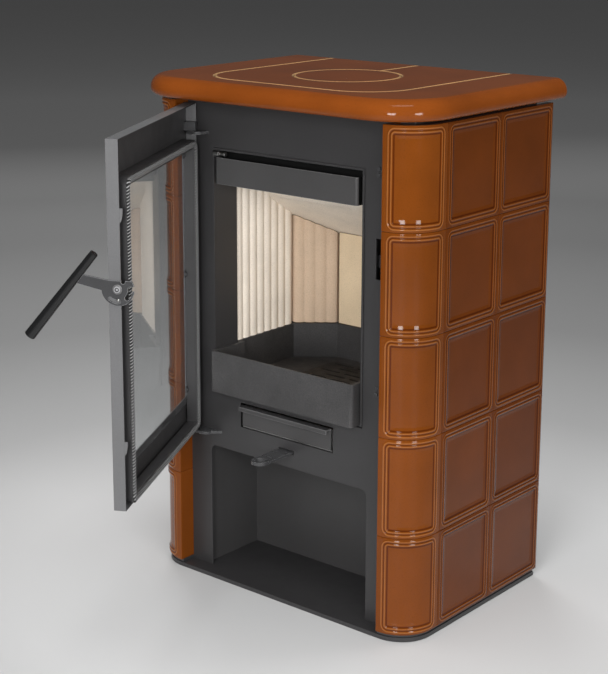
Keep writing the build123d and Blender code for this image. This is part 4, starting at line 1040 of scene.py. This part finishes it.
# the front plate's small faces in the drawer's gap get the near-black paint: painted shade
paint_faces(
    front_plate, SOOT_AND_SHADE_PAINT,
    lambda face: face.area < GAP_FACE
    and not outside(face, drawer_low, drawer_high, -DRAWER_GAP_MM),
)
dressed("wood_box", BOX_PAINT, FINE_EDGE_MM)
dressed("firebox_shell", BODY_PAINT, FINE_EDGE_MM)
for node in ("air_box", "flue_collar"):
    dressed(node, INNER_PAINT, FINE_EDGE_MM)
# near-black, so that its inside shows dark through the drawer's gap: painted shade, partly soot
dressed("ash_compartment", SOOT_AND_SHADE_PAINT, FINE_EDGE_MM)
# its rounded edges get the lighter rubbed paint, partly a painted highlight
deflector = dressed("air_deflector", BOX_PAINT, DEFLECTOR_EDGE_MM, 3, RUBBED_AND_HIGHLIGHT_PAINT)
deflector_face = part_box("air_deflector")[0].y + DEFLECTOR_FACE_MM * MM
# the faces behind the deflector's front face get the near-black paint: painted shade in its hollow
paint_faces(deflector, SOOT_AND_SHADE_PAINT, lambda face: face.center.y > deflector_face)
small_parts(deflector, STEEL)
# its rounded edges get the lighter rubbed paint, partly a painted highlight
drawer = dressed("drawer_front", BOX_PAINT, FRONT_EDGE_MM, 3, RUBBED_AND_HIGHLIGHT_PAINT)
drawer_face = drawer_low.y + DRAWER_LIP_MM * MM
# faces behind the drawer's lip and round its sides get the near-black paint: painted shade in the gap
paint_faces(
    drawer, SOOT_AND_SHADE_PAINT,
    lambda face: face.center.y > drawer_face
    and outside(face, drawer_low, drawer_high, DRAWER_SIDE_MM),
)
# their rounded edges get the near-white edge paint: partly bare metal, partly a painted highlight
for node in ("hinge_brackets", "air_lever"):
    dressed(node, FITTING_PAINT, FORGED_EDGE_MM, 3, BARE_EDGE_AND_HIGHLIGHT)
# the arm's rounded edges get the light worn paint: a painted highlight along them, partly wear
dressed("latch_arm", FITTING_PAINT, ARM_EDGE_MM, 2, WORN_AND_HIGHLIGHT_PAINT)
door = dressed("door_panel", DOOR_PAINT, SHEET_EDGE_MM)
# the door's inward faces get the darker box paint: a painted shade on the one sheet, whose free edge keeps the
# lighter door paint
door_inward = Vector((-math.sin(OPEN_ANGLE), math.cos(OPEN_ANGLE), 0.0))
paint_faces(door, BOX_PAINT, lambda face: face.normal.dot(door_inward) > FACING)
dressed("door_frame", BODY_PAINT, SHEET_EDGE_MM)
for node in ("glass_clips", "front_screws", "door_bushes", "catch_bracket"):
    dressed(node, FITTING_PAINT, FINE_EDGE_MM)
for node in ("hinge_pins", "ash_pan", "air_slide", "top_outlet_cap"):
    dressed(node, STEEL, FINE_EDGE_MM)
# the back and corner linings get darker copies of the fireclay: painted shade
for node, clay in (
    ("lining_left", PALE_FIRECLAY), ("lining_right", PALE_FIRECLAY),
    ("lining_corners", DEEP_SHADE_FIRECLAY), ("lining_back", HALF_SHADE_FIRECLAY),
    ("baffle_plate", PALE_FIRECLAY),
):
    dressed(node, clay, CLAY_EDGE_MM, edge_material=SOOTED_FIRECLAY, corner_angle=CLAY_CORNER)
# its rounded edges get the lighter iron: partly wear, partly a painted highlight
dressed("fire_bowl", CAST_IRON, BOWL_EDGE_MM, 3, WORN_AND_HIGHLIGHT_IRON)
dressed("grate", GRATE_IRON, GRATE_EDGE_MM)
dressed("handle_rod", ROD_PAINT, 0.0)
dressed("door_glass", GLASS, FINE_EDGE_MM)


# ======================== stage, lamps and camera
def build_floor():
    """A plain floor that looks pale round the stove and falls off to mid grey far from it."""
    bpy.ops.mesh.primitive_circle_add(
        vertices=128, radius=FLOOR_RADIUS, fill_type="NGON", location=(0, 0, 0)
    )
    floor = bpy.context.object
    floor.name = "studio_floor"
    material, tree, shader = new_material("studio_floor")
    away = tree.nodes.new("ShaderNodeVectorMath")
    away.operation = "LENGTH"
    tree.links.new(place(tree), away.inputs[0])
    share = tree.nodes.new("ShaderNodeMapRange")
    share.inputs["From Max"].default_value = FLOOR_FADE
    tree.links.new(away.outputs["Value"], share.inputs["Value"])
    tree.links.new(ramp(tree, share.outputs[0], *FLOOR_STOPS), shader.inputs["Base Color"])
    shader.inputs["Roughness"].default_value = 0.6
    floor.data.materials.append(material)


def add_lamp(name, azimuth, elevation, distance, size, level, glossy):
    """A soft lamp aimed at the stove; level 1 shows a white face turned to it as white."""
    a, e = math.radians(azimuth), math.radians(elevation)
    away = Vector((math.sin(a) * math.cos(e), -math.cos(a) * math.cos(e), math.sin(e)))
    data = bpy.data.lights.new(name, "AREA")
    data.shape = "RECTANGLE"
    data.size, data.size_y = size
    data.energy = level * math.pi * math.pi * distance ** 2
    lamp = bpy.data.objects.new(name, data)
    lamp.location = Vector(LAMP_AIM) + away * distance
    lamp.rotation_euler = away.to_track_quat("Z", "Y").to_euler()
    lamp.visible_camera = False
    lamp.visible_glossy = glossy
    bpy.context.scene.collection.objects.link(lamp)


def build_studio():
    """The floor, the lamps and a faint even light from all round."""
    build_floor()
    for lamp in LAMPS:
        add_lamp(*lamp)
    world = bpy.data.worlds.new("studio")
    world.use_nodes = True
    background = world.node_tree.nodes["Background"]
    background.inputs["Color"].default_value = (1.0, 1.0, 1.0, 1.0)
    background.inputs["Strength"].default_value = WORLD_LEVEL
    bpy.context.scene.world = world
    bpy.context.scene.view_settings.view_transform = "Standard"


def build_camera():
    """The camera at the photograph's angle."""
    data = bpy.data.cameras.new("photo_view")
    data.sensor_width = SENSOR_MM
    data.lens = CAMERA_FOCUS * SENSOR_MM / IMAGE_HEIGHT
    data.shift_x = CAMERA_SHIFT[0] / IMAGE_HEIGHT
    data.shift_y = CAMERA_SHIFT[1] / IMAGE_HEIGHT
    data.clip_end = 100.0
    camera = bpy.data.objects.new("photo_view", data)
    camera.location = CAMERA_PLACE
    camera.rotation_euler = [math.radians(angle) for angle in CAMERA_TURN]
    bpy.context.scene.collection.objects.link(camera)
    bpy.context.scene.camera = camera


build_studio()
build_camera()
